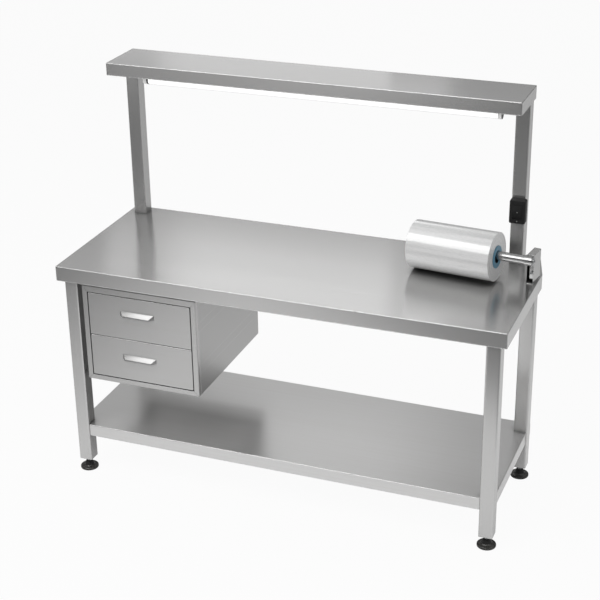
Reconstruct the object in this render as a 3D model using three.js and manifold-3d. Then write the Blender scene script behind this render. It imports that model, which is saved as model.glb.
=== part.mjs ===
import * as THREE from "three";
import { mergeVertices } from "three/addons/utils/BufferGeometryUtils.js";
import Module from "manifold-3d";

// Packing table of folded stainless steel, with a lower shelf, a cabinet of two drawers,
// an overshelf on two uprights, a lamp, a switch and a film roll on a rod.
// Millimetres, +X to the right, +Y to the rear, +Z up.
// The origin is on the floor under the middle of the worktop.

// Clearances and cuts
const seatGap = 0.3; // between two pieces that rest on each other
const runningGap = 0.5; // between two runner members
const cutOverrun = 4; // how far a cutting tool passes a face
const weldDistance = 0.001; // vertices closer than this are one
const foldSteps = 3; // facets round a fold
const cornerSteps = 3; // facets round a corner in plan

// Folded sheet
const sheetGauge = 1.5;
const foldRadius = 3; // outside of a fold
const planRadius = 4; // outside of a corner in plan
const mitreSlit = 1; // open seam between two return lips

// Worktop
const worktopLength = 1800;
const worktopDepth = 700;
const worktopHeight = 920;
const apronHeight = 60;
const apronLip = 18;
const cornerCutWidth = 40; // rear right corner, across
const cornerCutDepth = 150; // rear right corner, from front to rear

// Legs, rails and feet
const legSize = 55;
const legGauge = 1.5;
const legRadius = 5;
const legSideInset = 25;
const legFrontInset = 20;
const legRearInset = 88;
const footHeight = 50; // from the floor to the leg's lower end
const footPadRadius = 37;
const footPadEdge = 9;
const footPadCrown = 17;
const footPadChamfer = 1.5;
const footHubBase = 19;
const footHubTop = 13;
const footHubHeight = 31;
const footStudRadius = 7;
const footStudLength = 48; // inside the leg
const insertHeight = 25;
const railWidth = 40;
const railHeight = 50;
const railLip = 9;

// Lower shelf
const shelfHeight = 216;
const shelfRim = 50;
const shelfLip = 15;
const shelfInset = 5; // behind the outer faces of the legs, at the front and the ends
const shelfRearReach = 31; // past the rear faces of the rear legs

// Uprights and overshelf
const uprightSize = 55;
const uprightRadius = 5;
const leftUprightInset = 30; // from the worktop's left end
const rightUprightInset = 94.5; // from the worktop's right end
const uprightRearInset = 23; // from the worktop's rear edge
const anchorHeight = 22;
const anchorStudRadius = 5;
const anchorStudLength = 16;
const anchorNutRadius = 9.5;
const anchorNutSides = 6;
const anchorNutHeight = 8;
const overshelfHeight = 1612;
const overshelfDepth = 234;
const overshelfLeftReach = 2.5; // past the left upright's outer face
const overshelfRightReach = 2.5; // past the right upright's outer face
const overshelfRim = 50;
const overshelfLip = 15;

// Lamp
const lampLeftInset = 136; // from the worktop's left end
const lampRightInset = 189; // from the worktop's right end
const lampChannelWidth = 46;
const lampChannelHeight = 56;
const lampChannelGauge = 1;
const lampDiffuserWidth = 36;
const lampDiffuserHeight = 48;
const lampDiffuserWall = 2;
const lampDiffuserHook = 5;
const lampCapLength = 16;
const lampCapOverlap = 1; // how far a cap stands out round the diffuser
const lampCapSpigot = 8;
const lampStripWidth = 20;
const lampStripThickness = 1.6;

// Switch on the right upright
const switchWidth = 62;
const switchHeight = 94;
const switchDepth = 29;
const switchRise = 174; // lower edge above the worktop
const switchSideOffset = 3; // to the right of the upright's middle
const switchCorner = 6;
const switchEdge = 2.5;
const rockerWidth = 34;
const rockerHeight = 56;
const rockerThickness = 8;
const rockerPivotDepth = 3; // behind the housing's face
const rockerPinRadius = 2;
const rockerPinLength = 1.4; // past each side of the rocker
const rockerSideGap = 0.4;
const rockerPocketDepth = 14;
const rockerTilt = THREE.MathUtils.degToRad(5); // to each side of the middle

// Cabinet
const cabinetWidth = 488;
const cabinetHeight = 429.2;
const cabinetSideInset = 100; // from the worktop's left end
const cabinetFrontInset = 19; // face of the frame, from the worktop's front edge
const cabinetRearInset = 81; // from the worktop's rear edge
const cabinetGauge = 1.2;
const cabinetFold = 2.5;
const cabinetPlanRadius = 3.2;
const cabinetFlange = 14; // in-turned front edge of the carcass
const frameDrop = 19; // from the carcass's upper face to the frame's upper edge
const frameSide = 21; // width of the frame's stiles and lower rail
const frameTop = 26; // width of the frame's upper rail
const frameReturn = 18; // depth of the frame's folded edges
const frameSeamWidth = 0.6;
const frameSeamDepth = 0.5;

// Drawers
const frontGap = 2.2; // to the left of the drawer fronts, below them and between them
const frontWideGap = 4.2; // to the right of them and above them
const upperFrontHeight = 179;
const frontRecess = 1; // behind the face of the frame
const frontReturn = 17;
const frontLip = 10;
const drawerRearGap = 40.5; // from the box to the carcass's back
const drawerGauge = 1;
const drawerTopDrop = 26; // from the front's upper edge to the box's
const drawerBottomRise = 8; // from the front's lower edge to the box's
const drawerCorner = 3;
const drawerHem = 8;

// Telescopic runners
const runnerRearGap = 49; // from the runner to the carcass's back
const runnerThickness = 12.7;
const runnerHeight = 36;
const runnerGauge = 1.2;
const runnerOuterReach = 10; // how far the outer member's lips reach in
const runnerMiddleStart = 2.4; // from the outer member's back to the middle member's
const runnerMiddleReach = 8;
const runnerInnerReach = 7;

// Handles
const handleRootWidth = 146;
const handleLipWidth = 114;
const handleReach = 18;
const handleHeight = 19;
const handleLip = 5;
const handleGauge = 1.5;
const handleOffset = -9; // of its middle from the cabinet's middle
const handleUpperDrop = 58; // from the front's upper edge to the handle's root, upper drawer
const handleLowerDrop = 66; // the same, lower drawer

// Roll holder, in its own turned frame: x along the rod, y to the rear, z up from the worktop
const holderRightInset = 22.5; // middle of the bracket from the worktop's right end
const holderRearInset = 215; // and from its rear edge
const holderYaw = THREE.MathUtils.degToRad(-7.5);
const rodDroop = THREE.MathUtils.degToRad(1.2);
const bracketWidth = 28;
const bracketDepth = 76;
const bracketHeight = 117;
const bracketGauge = 1.5;
const bracketFold = 2.2;
const baseThickness = 3;
const baseSideOverlap = 2.5;
const baseFrontOverlap = 8;
const baseCorner = 8;
const rodRadius = 17.3;
const rodWall = 2.5;
const rodHeight = 111.5; // axis above the worktop, under the collar
const rodForward = 80.6; // axis in front of the bracket's middle
const rodLeftEnd = 462;
const rodRightEnd = 26.5;
const collarLeft = 5;
const collarRight = 24;
const collarWall = 3;
const plateWidth = 17.5;
const plateThickness = 5;
const plateSetback = 10; // behind the bracket's front edge
const plateBottom = 16;
const plateTop = 106;
const neckWidth = 12;
const neckHeight = 17;
const clampHeight = 42;
const clampShankRadius = 4;
const clampHeadRadius = 6.5;
const clampHeadHeight = 5;
const clampBossRadius = 8;
const endBoltHeadRadius = 9;
const endBoltHeadHeight = 4.5;
const endBoltPlugLength = 26;

// Film roll
const rollStart = 117.5; // right end, from the bracket's middle along the rod
const rollLength = 333;
const filmRadius = 94;
const filmEdge = 1.2;
const coreRadius = 43.5;
const coreBore = 38;
const plugBore = 23.8;
const plugFlange = 3;
const plugSpigot = 36;
const plugChamfer = 0.8;
const rollFacets = 72;
const rodFacets = 40;
const smallFacets = 24;

const wasm = await Module();
wasm.setup();

// Solids

const point = (x, y) => new THREE.Vector2(x, y);
const quarterTurn = Math.PI / 2;

function solid(geometry) {
  const bare = geometry.clone();
  bare.deleteAttribute("normal");
  bare.deleteAttribute("uv");
  const merged = mergeVertices(bare, weldDistance);
  return new wasm.Manifold(
    new wasm.Mesh({
      numProp: 3,
      vertProperties: merged.attributes.position.array,
      triVerts: new Uint32Array(merged.index.array),
    }),
  );
}

function join(first, ...others) {
  return others.reduce((whole, other) => whole.add(other), first);
}

function cut(body, ...tools) {
  return tools.reduce((whole, tool) => whole.subtract(tool), body);
}

function geometryOf(body) {
  const made = body.getMesh();
  const geometry = new THREE.BufferGeometry();
  geometry.setAttribute("position", new THREE.BufferAttribute(made.vertProperties, 3));
  geometry.setIndex(new THREE.BufferAttribute(made.triVerts, 1));
  const faceted = geometry.toNonIndexed();
  faceted.computeVertexNormals();
  return faceted;
}

// Outlines, all anticlockwise

function rectangle(x0, x1, y0, y1) {
  return [point(x0, y0), point(x1, y0), point(x1, y1), point(x0, y1)];
}

function centred(width, depth) {
  return rectangle(-width / 2, width / 2, -depth / 2, depth / 2);
}

function circle(radius, facets, x = 0, y = 0) {
  return Array.from({ length: facets }, (_, i) => {
    const angle = (2 * Math.PI * i) / facets;
    return point(x + radius * Math.cos(angle), y + radius * Math.sin(angle));
  });
}

function neighbours(outline, i) {
  const before = outline[(i + outline.length - 1) % outline.length];
  const after = outline[(i + 1) % outline.length];
  return [before, after];
}

// Each corner becomes an arc of the radius, or of that corner's own radius in a list.
function rounded(outline, radius) {
  return outline.flatMap((corner, i) => {
    const r = Array.isArray(radius) ? radius[i] : radius;
    const [before, after] = neighbours(outline, i);
    const toBefore = before.clone().sub(corner).normalize();
    const toAfter = after.clone().sub(corner).normalize();
    const halfAngle = Math.acos(toBefore.dot(toAfter)) / 2;
    const middle = toBefore.clone().add(toAfter).normalize();
    const centre = corner.clone().addScaledVector(middle, r / Math.sin(halfAngle));
    const start = corner.clone().addScaledVector(toBefore, r / Math.tan(halfAngle));
    const end = corner.clone().addScaledVector(toAfter, r / Math.tan(halfAngle));
    const from = start.sub(centre).angle();
    const to = end.sub(centre).angle();
    const sweep = Math.atan2(Math.sin(to - from), Math.cos(to - from));
    return Array.from({ length: cornerSteps + 1 }, (_, k) => {
      const angle = from + (sweep * k) / cornerSteps;
      return point(centre.x + r * Math.cos(angle), centre.y + r * Math.sin(angle));
    });
  });
}

// Every side moves inwards by the distance.
function inset(outline, distance) {
  return outline.map((corner, i) => {
    const [before, after] = neighbours(outline, i);
    const along = corner.clone().sub(before).normalize();
    const onward = after.clone().sub(corner).normalize();
    const normal = point(-along.y, along.x);
    const nextNormal = point(-onward.y, onward.x);
    const shift = distance / (1 + normal.dot(nextNormal));
    return corner.clone().addScaledVector(normal.add(nextNormal), shift);
  });
}

// The section of a folded strip: a path and the same path moved to its left by the gauge.
function stripOutline(path, gauge) {
  const moved = path.map((corner, i) => {
    const before = path[Math.max(i - 1, 0)];
    const after = path[Math.min(i + 1, path.length - 1)];
    const along = (i > 0 ? corner.clone().sub(before) : after.clone().sub(corner)).normalize();
    const onward = (i < path.length - 1 ? after.clone().sub(corner) : along.clone()).normalize();
    const normal = point(-along.y, along.x);
    const nextNormal = point(-onward.y, onward.x);
    const shift = gauge / (1 + normal.dot(nextNormal));
    return corner.clone().addScaledVector(normal.add(nextNormal), shift);
  });
  return [...path, ...moved.reverse()];
}

// Prisms: the outline lies in x and y for alongZ, in y and z for alongX, in x and z for alongY.

function extruded(outline, from, to, holes = []) {
  const shape = new THREE.Shape(outline);
  holes.forEach((hole) => shape.holes.push(new THREE.Path(hole)));
  const geometry = new THREE.ExtrudeGeometry(shape, { depth: to - from, bevelEnabled: false });
  return geometry.translate(0, 0, from);
}

function alongZ(outline, from, to, holes) {
  return solid(extruded(outline, from, to, holes));
}

function alongX(outline, from, to, holes) {
  const geometry = extruded(outline, from, to, holes);
  return solid(geometry.rotateX(quarterTurn).rotateZ(quarterTurn));
}

function alongY(outline, from, to, holes) {
  return solid(extruded(outline, -to, -from, holes).rotateX(quarterTurn));
}

function block(x0, x1, y0, y1, z0, z1) {
  return alongZ(rectangle(x0, x1, y0, y1), z0, z1);
}

// Turned pieces: the profile is a list of radius and height, from the lower end to the upper one.

function turned(profile, facets) {
  const points = profile.map(([radius, height]) => point(radius, height));
  return new THREE.LatheGeometry(points, facets);
}

function turnedAboutZ(profile, facets) {
  return solid(turned(profile, facets).rotateX(quarterTurn));
}

function turnedAboutX(profile, facets) {
  return solid(turned(profile, facets).rotateZ(-quarterTurn));
}

function rod(radius, from, to, facets) {
  return [[0, from], [radius, from], [radius, to], [0, to]];
}

// A block whose upper edges are folded round.
function roundTopped(outline, bottom, top, radius) {
  const base = bottom - cutOverrun - 2 * radius;
  const geometry = new THREE.ExtrudeGeometry(new THREE.Shape(outline), {
    depth: top - base - 2 * radius,
    bevelThickness: radius,
    bevelSize: radius,
    bevelOffset: -radius,
    bevelSegments: foldSteps,
  });
  geometry.translate(0, 0, base + radius);
  const below = alongZ(inset(outline, -cutOverrun), base - cutOverrun, bottom);
  return cut(solid(geometry), below);
}

// A sheet folded down along its outline, with return lips whose corners are open mitres.
function foldedTray({ corners, radius, top, rim, gauge, fold, lip }) {
  const outer = rounded(corners, radius);
  const inner = inset(outer, gauge);
  const bottom = top - rim;
  const shell = cut(
    roundTopped(outer, bottom, top, fold),
    roundTopped(inner, bottom - cutOverrun, top - gauge, fold - gauge),
  );
  const innerEdge = inset(corners, lip);
  const ring = alongZ(inset(outer, gauge / 2), bottom, bottom + gauge, [innerEdge]);
  const slits = inset(corners, fold + gauge).map((start, i) => {
    const direction = innerEdge[i].clone().sub(start).normalize();
    const side = point(-direction.y, direction.x).multiplyScalar(mitreSlit / 2);
    const end = innerEdge[i].clone().addScaledVector(direction, cutOverrun);
    const seam = [start.clone().sub(side), end.clone().sub(side), end.clone().add(side), start.clone().add(side)];
    return alongZ(seam, bottom - cutOverrun, bottom + cutOverrun);
  });
  return join(shell, cut(ring, ...slits));
}

// Materials

function steel(color, roughness) {
  return new THREE.MeshStandardMaterial({ color, roughness, metalness: 1 });
}

function plastic(color, roughness) {
  return new THREE.MeshStandardMaterial({ color, roughness, metalness: 0 });
}

const brushedSteel = steel(0xb9bbbd, 0.38);
const darkSteel = steel(0x8d9093, 0.45);
const brightSteel = steel(0xd9dbdc, 0.2);
const zincSteel = steel(0xa3a7ab, 0.4);
const whitePaint = plastic(0xe9eaea, 0.45);
const diffuserPlastic = plastic(0xf4f5f2, 0.35);
const blackPlastic = plastic(0x17181a, 0.5);
const blackRubber = plastic(0x1d1d1e, 0.75);
const filmPlastic = plastic(0xdfe3e4, 0.22);
const bluePlastic = plastic(0x5f8caa, 0.45);
const cardboard = plastic(0xa98f6c, 0.9);
const boardWhite = plastic(0xdfe2d8, 0.5);

const table = new THREE.Group();

function addPiece(parent, name, body, material, x = 0, y = 0, z = 0) {
  const mesh = new THREE.Mesh(geometryOf(body), material);
  mesh.name = name;
  mesh.position.set(x, y, z);
  parent.add(mesh);
  return mesh;
}

// Places that several pieces share

const rightEnd = worktopLength / 2;
const frontEdge = -worktopDepth / 2;
const rearEdge = worktopDepth / 2;
const underWorktop = worktopHeight - sheetGauge;
const legX = rightEnd - legSideInset - legSize / 2;
const frontLegY = frontEdge + legFrontInset + legSize / 2;
const rearLegY = rearEdge - legRearInset - legSize / 2;
const legPlaces = [
  ["front_left", -legX, frontLegY],
  ["front_right", legX, frontLegY],
  ["rear_left", -legX, rearLegY],
  ["rear_right", legX, rearLegY],
];
const leftUprightX = -rightEnd + leftUprightInset + uprightSize / 2;
const rightUprightX = rightEnd - rightUprightInset - uprightSize / 2;
const uprightY = rearEdge - uprightRearInset - uprightSize / 2;
const uprightPlaces = [
  ["left", leftUprightX],
  ["right", rightUprightX],
];
const underOvershelf = overshelfHeight - sheetGauge;
const supportTop = underWorktop - seatGap; // of legs and rails

// The room that a square post takes in a folded sheet
function postRoom(x, y, size, bottom, top) {
  const half = size / 2 + seatGap;
  return block(x - half, x + half, y - half, y + half, bottom, top);
}

// Worktop

const worktopCorners = rectangle(-rightEnd, rightEnd, frontEdge, rearEdge);
worktopCorners.splice(
  2,
  1,
  point(rightEnd, rearEdge - cornerCutDepth),
  point(rightEnd - cornerCutWidth, rearEdge),
);
const anchorHoleRadius = anchorStudRadius + seatGap;
const worktopTools = [
  ...legPlaces.map(([, x, y]) =>
    postRoom(x, y, legSize, worktopHeight - apronHeight - cutOverrun, underWorktop - foldRadius),
  ),
  ...uprightPlaces.map(([, x]) =>
    alongZ(
      circle(anchorHoleRadius, smallFacets, x, uprightY),
      underWorktop - cutOverrun,
      worktopHeight + cutOverrun,
    ),
  ),
];
const worktop = cut(
  foldedTray({
    corners: worktopCorners,
    radius: planRadius,
    top: worktopHeight,
    rim: apronHeight,
    gauge: sheetGauge,
    fold: foldRadius,
    lip: apronLip,
  }),
  ...worktopTools,
);
addPiece(table, "worktop", worktop, brushedSteel);

// Rails under the worktop, open below with in-turned lips

function railSection(width, height, lip, gauge, top) {
  const half = width / 2;
  const path = [
    point(-half + lip, top - height),
    point(-half, top - height),
    point(-half, top),
    point(half, top),
    point(half, top - height),
    point(half - lip, top - height),
  ];
  return stripOutline(path.reverse(), gauge);
}

const railOutline = railSection(railWidth, railHeight, railLip, sheetGauge, supportTop);
const longRailReach = legX - legSize / 2 - seatGap;
const longRail = alongX(railOutline, -longRailReach, longRailReach);
addPiece(table, "front_rail", longRail, darkSteel, 0, frontLegY);
addPiece(table, "rear_rail", longRail, darkSteel, 0, rearLegY);
const endRailFront = frontLegY + legSize / 2 + seatGap;
const endRailRear = rearLegY - legSize / 2 - seatGap;
const endRail = alongY(railOutline, endRailFront, endRailRear);
addPiece(table, "left_end_rail", endRail, darkSteel, -legX);
addPiece(table, "right_end_rail", endRail, darkSteel, legX);

// Square tubes for legs and uprights

function squareTube(size, radius, gauge, bottom, top) {
  const outer = rounded(centred(size, size), radius);
  return alongZ(outer, bottom, top, [inset(outer, gauge)]);
}

function tubeFiller(size, radius, gauge) {
  return inset(rounded(centred(size, size), radius), gauge + seatGap);
}

// Legs, threaded inserts and levelling feet

const leg = squareTube(legSize, legRadius, legGauge, footHeight, supportTop);
const legInsert = alongZ(
  tubeFiller(legSize, legRadius, legGauge),
  footHeight,
  footHeight + insertHeight,
  [circle(footStudRadius + seatGap, smallFacets)],
);
const foot = turnedAboutZ(
  [
    [0, 0],
    [footPadRadius - footPadChamfer, 0],
    [footPadRadius, footPadChamfer],
    [footPadRadius, footPadEdge],
    [footPadRadius - footPadChamfer, footPadEdge + footPadChamfer],
    [footHubBase + footPadChamfer, footPadCrown],
    [footHubBase, footPadCrown + footPadChamfer],
    [footHubTop, footHubHeight],
    [footStudRadius, footHubHeight],
    [footStudRadius, footHeight + footStudLength],
    [0, footHeight + footStudLength],
  ],
  rodFacets,
);
legPlaces.forEach(([place, x, y]) => {
  addPiece(table, place + "_leg", leg, brushedSteel, x, y);
  addPiece(table, place + "_leg_insert", legInsert, zincSteel, x, y);
  addPiece(table, place + "_foot", foot, blackRubber, x, y);
});

// Lower shelf, cut out round the legs

const shelfSide = legX + legSize / 2 - shelfInset;
const shelfCorners = rectangle(
  -shelfSide,
  shelfSide,
  frontLegY - legSize / 2 + shelfInset,
  rearLegY + legSize / 2 + shelfRearReach,
);
const lowerShelf = cut(
  foldedTray({
    corners: shelfCorners,
    radius: planRadius,
    top: shelfHeight,
    rim: shelfRim,
    gauge: sheetGauge,
    fold: foldRadius,
    lip: shelfLip,
  }),
  ...legPlaces.map(([, x, y]) =>
    postRoom(x, y, legSize, shelfHeight - shelfRim - cutOverrun, shelfHeight + cutOverrun),
  ),
);
addPiece(table, "lower_shelf", lowerShelf, brushedSteel);

// Uprights, each held by an anchor whose stud and nut pass through the worktop

const upright = squareTube(
  uprightSize,
  uprightRadius,
  legGauge,
  worktopHeight + seatGap,
  underOvershelf - seatGap,
);
const nutTop = underWorktop - seatGap;
const anchor = join(
  alongZ(
    tubeFiller(uprightSize, uprightRadius, legGauge),
    worktopHeight + seatGap,
    worktopHeight + seatGap + anchorHeight,
  ),
  alongZ(
    circle(anchorStudRadius, smallFacets),
    worktopHeight + seatGap - anchorStudLength,
    worktopHeight + seatGap + anchorHeight / 2,
  ),
  alongZ(circle(anchorNutRadius, anchorNutSides), nutTop - anchorNutHeight, nutTop),
);
uprightPlaces.forEach(([place, x]) => {
  addPiece(table, place + "_upright", upright, brushedSteel, x, uprightY);
  addPiece(table, place + "_upright_anchor", anchor, zincSteel, x, uprightY);
});

// Overshelf, its rear lip cut out behind the uprights

const overshelfCorners = rectangle(
  leftUprightX - uprightSize / 2 - overshelfLeftReach,
  rightUprightX + uprightSize / 2 + overshelfRightReach,
  rearEdge - overshelfDepth,
  rearEdge,
);
const overshelf = cut(
  foldedTray({
    corners: overshelfCorners,
    radius: planRadius,
    top: overshelfHeight,
    rim: overshelfRim,
    gauge: sheetGauge,
    fold: foldRadius,
    lip: overshelfLip,
  }),
  ...uprightPlaces.map(([, x]) =>
    postRoom(
      x,
      uprightY,
      uprightSize,
      overshelfHeight - overshelfRim - cutOverrun,
      underOvershelf - foldRadius,
    ),
  ),
);
addPiece(table, "overshelf", overshelf, brushedSteel);

// Lamp under the overshelf: a channel, a light strip, a diffuser and two end caps

const lampY = rearEdge - overshelfDepth / 2;
const lampRight = rightEnd - lampRightInset;
const lampLeft = -rightEnd + lampLeftInset;
const channelTop = underOvershelf - seatGap;
const channelBottom = channelTop - lampChannelHeight;
const halfChannel = lampChannelWidth / 2;
const channelPath = [
  point(-halfChannel, channelTop),
  point(-halfChannel, channelBottom),
  point(halfChannel, channelBottom),
  point(halfChannel, channelTop),
];
const diffuserLeft = lampLeft + lampCapLength;
const diffuserRight = lampRight - lampCapLength;
const lampChannel = alongX(stripOutline(channelPath, lampChannelGauge), diffuserLeft, diffuserRight);
addPiece(table, "lamp_channel", lampChannel, whitePaint, 0, lampY);

// A flat top and a half-round bottom, anticlockwise from the upper right
function lampSection(width, top, bottom) {
  const radius = width / 2;
  const arc = Array.from({ length: smallFacets / 2 + 1 }, (_, i) => {
    const angle = Math.PI + (2 * Math.PI * i) / smallFacets;
    return point(radius * Math.cos(angle), bottom + radius + radius * Math.sin(angle));
  });
  return [point(radius, top), point(-radius, top), ...arc];
}

const diffuserTop = channelBottom - seatGap;
const diffuserBottom = diffuserTop - lampDiffuserHeight;
const innerWidth = lampDiffuserWidth - 2 * lampDiffuserWall;
const hookWidth = innerWidth - 2 * lampDiffuserHook;
const diffuser = cut(
  alongX(lampSection(lampDiffuserWidth, diffuserTop, diffuserBottom), diffuserLeft, diffuserRight),
  alongX(
    lampSection(innerWidth, diffuserTop - lampDiffuserWall, diffuserBottom + lampDiffuserWall),
    diffuserLeft - cutOverrun,
    diffuserRight + cutOverrun,
  ),
  alongX(
    rectangle(
      -hookWidth / 2,
      hookWidth / 2,
      diffuserTop - lampDiffuserWall - cutOverrun,
      diffuserTop + cutOverrun,
    ),
    diffuserLeft - cutOverrun,
    diffuserRight + cutOverrun,
  ),
);
addPiece(table, "lamp_diffuser", diffuser, diffuserPlastic, 0, lampY);

const stripTop = channelBottom - seatGap;
const lightStrip = alongX(
  rectangle(-lampStripWidth / 2, lampStripWidth / 2, stripTop - lampStripThickness, stripTop),
  diffuserLeft + lampCapSpigot + seatGap,
  diffuserRight - lampCapSpigot - seatGap,
);
addPiece(table, "lamp_light_strip", lightStrip, boardWhite, 0, lampY);

const capWidth = lampDiffuserWidth + 2 * lampCapOverlap;
const spigotInset = lampDiffuserWall + seatGap;
function lampCap(outerEnd, innerEnd, spigotEnd) {
  return join(
    alongX(
      lampSection(capWidth, channelTop, diffuserBottom - lampCapOverlap),
      Math.min(outerEnd, innerEnd),
      Math.max(outerEnd, innerEnd),
    ),
    alongX(
      lampSection(
        lampDiffuserWidth - 2 * spigotInset,
        diffuserTop - spigotInset,
        diffuserBottom + spigotInset,
      ),
      Math.min(innerEnd, spigotEnd),
      Math.max(innerEnd, spigotEnd),
    ),
  );
}
const leftCap = lampCap(lampLeft, diffuserLeft - seatGap, diffuserLeft + lampCapSpigot);
const rightCap = lampCap(lampRight, diffuserRight + seatGap, diffuserRight - lampCapSpigot);
addPiece(table, "lamp_left_cap", leftCap, whitePaint, 0, lampY);
addPiece(table, "lamp_right_cap", rightCap, whitePaint, 0, lampY);

// Switch: built with its face upwards, then turned to the front of the upright

const switchX = rightUprightX + switchSideOffset;
const switchY = uprightY - uprightSize / 2 - seatGap; // back of the housing
const switchZ = worktopHeight + switchRise + switchHeight / 2;
const pivotHeight = switchDepth - rockerPivotDepth; // from the back of the housing
const pocketWidth = rockerWidth + 2 * rockerSideGap;
const pocketHeight = rockerHeight + 4 * rockerSideGap;
const pinReach = rockerWidth / 2 + rockerPinLength;
const pinSeat = alongX(
  circle(rockerPinRadius + seatGap, smallFacets, 0, pivotHeight),
  -pinReach - seatGap,
  pinReach + seatGap,
);
const switchHousing = cut(
  roundTopped(rounded(centred(switchWidth, switchHeight), switchCorner), 0, switchDepth, switchEdge),
  alongZ(
    centred(pocketWidth, pocketHeight),
    switchDepth - rockerPocketDepth,
    switchDepth + cutOverrun,
  ),
  pinSeat,
);
const switchGroup = new THREE.Group();
switchGroup.position.set(switchX, switchY, switchZ);
switchGroup.rotation.x = quarterTurn;
table.add(switchGroup);
addPiece(switchGroup, "switch_housing", switchHousing, blackPlastic);

// The rocker's face is a shallow ridge, so that the pressed half lies flat.
const rockerHalf = rockerHeight / 2;
const ridge = rockerPivotDepth + rockerHalf * Math.tan(rockerTilt);
const rockerOutline = [
  point(-rockerHalf, ridge - rockerThickness),
  point(rockerHalf, ridge - rockerThickness),
  point(rockerHalf, ridge - rockerHalf * Math.tan(rockerTilt)),
  point(0, ridge),
  point(-rockerHalf, ridge - rockerHalf * Math.tan(rockerTilt)),
];
const rocker = join(
  alongX(rockerOutline, -rockerWidth / 2, rockerWidth / 2),
  alongX(circle(rockerPinRadius, smallFacets), -pinReach, pinReach),
);
const rockerMesh = addPiece(switchGroup, "switch_rocker", rocker, blackPlastic, 0, 0, pivotHeight);
rockerMesh.rotation.x = rockerTilt;

// Cabinet carcass: an open box with in-turned front edges and channels that carry the runners

const cabinetTop = supportTop - railHeight - seatGap;
const cabinetBottom = cabinetTop - cabinetHeight;
const cabinetX = -rightEnd + cabinetSideInset + cabinetWidth / 2;
const cabinetFront = frontEdge + cabinetFrontInset;
const carcassFront = cabinetFront + frameReturn + seatGap;
const carcassRear = rearEdge - cabinetRearInset;
const frameUpperEdge = cabinetTop - frameDrop;
const openingLeft = -cabinetWidth / 2 + frameSide; // from the cabinet's middle
const openingRight = cabinetWidth / 2 - frameSide;
const openingBottom = cabinetBottom + frameSide;
const openingTop = frameUpperEdge - frameTop;
const openingWidth = openingRight - openingLeft;
const upperFrontTop = openingTop - frontWideGap;
const upperFrontBottom = upperFrontTop - upperFrontHeight;
const lowerFrontTop = upperFrontBottom - frontGap;
const lowerFrontBottom = openingBottom + frontGap;
const drawerPlaces = [
  { name: "upper", bottom: upperFrontBottom, top: upperFrontTop, handleDrop: handleUpperDrop },
  { name: "lower", bottom: lowerFrontBottom, top: lowerFrontTop, handleDrop: handleLowerDrop },
];
const halfCabinet = cabinetWidth / 2;
const carcassInner = halfCabinet - cabinetGauge;
const channelDepth = carcassInner - openingWidth / 2 - seatGap;
const runnerMiddle = (drawer) => (drawer.bottom + drawer.top) / 2;
const runnerFront = carcassFront + cabinetGauge + seatGap;
const runnerRear = carcassRear - cabinetGauge - runnerRearGap;

const carcassShell = cut(
  alongY(
    rounded(rectangle(-halfCabinet, halfCabinet, cabinetBottom, cabinetTop), cabinetPlanRadius),
    carcassFront,
    carcassRear,
  ),
  alongY(
    rounded(
      rectangle(
        -carcassInner,
        carcassInner,
        cabinetBottom + cabinetGauge,
        cabinetTop - cabinetGauge,
      ),
      cabinetPlanRadius - cabinetGauge,
    ),
    carcassFront + cabinetGauge,
    carcassRear - cabinetGauge,
  ),
  alongY(
    rectangle(
      -halfCabinet + cabinetFlange,
      halfCabinet - cabinetFlange,
      cabinetBottom + cabinetFlange,
      cabinetTop - cabinetFlange,
    ),
    carcassFront - cutOverrun,
    carcassFront + cutOverrun,
  ),
);
// One channel on each side for each drawer, open at both ends, as a folded hat section
const hatHalf = runnerHeight / 2 + runnerGauge;
function hatSection(side, middle) {
  const wall = side * (carcassInner + cabinetGauge / 2);
  const crest = side * (carcassInner - channelDepth);
  const path = [
    point(wall, middle - hatHalf),
    point(crest, middle - hatHalf),
    point(crest, middle + hatHalf),
    point(wall, middle + hatHalf),
  ];
  return stripOutline(side > 0 ? path.reverse() : path, cabinetGauge);
}
const hats = drawerPlaces.flatMap((drawer) =>
  [-1, 1].map((side) => alongY(hatSection(side, runnerMiddle(drawer)), runnerFront, runnerRear)),
);
addPiece(table, "cabinet_carcass", join(carcassShell, ...hats), brushedSteel, cabinetX);

// Face frame, built with its face upwards: folded edges outside and inside, mitred seams

const frameMiddle = (cabinetBottom + frameUpperEdge) / 2;
const frameOuter = centred(cabinetWidth, frameUpperEdge - cabinetBottom);
const frameInner = rectangle(
  openingLeft,
  openingRight,
  openingBottom - frameMiddle,
  openingTop - frameMiddle,
);
const frameOuterRound = rounded(frameOuter, cabinetPlanRadius);
const frameShell = cut(
  roundTopped(frameOuterRound, 0, frameReturn, cabinetFold),
  alongZ(frameInner, -cutOverrun, frameReturn + cutOverrun),
);
const framePocket = alongZ(
  inset(frameOuterRound, cabinetGauge),
  -cutOverrun,
  frameReturn - cabinetGauge,
  [inset(frameInner, -cabinetGauge)],
);
const frameSeams = frameOuter.map((corner, i) => {
  const direction = frameInner[i].clone().sub(corner).normalize();
  const side = point(-direction.y, direction.x).multiplyScalar(frameSeamWidth / 2);
  const end = frameInner[i].clone().addScaledVector(direction, cutOverrun);
  const seam = [
    corner.clone().sub(side),
    end.clone().sub(side),
    end.clone().add(side),
    corner.clone().add(side),
  ];
  return alongZ(seam, frameReturn - frameSeamDepth, frameReturn + cutOverrun);
});
const faceFrame = cut(frameShell, framePocket, ...frameSeams);
const frameGroup = new THREE.Group();
frameGroup.position.set(cabinetX, cabinetFront + frameReturn, frameMiddle);
frameGroup.rotation.x = quarterTurn;
table.add(frameGroup);
addPiece(frameGroup, "cabinet_frame", faceFrame, brushedSteel);

// Drawers

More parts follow.
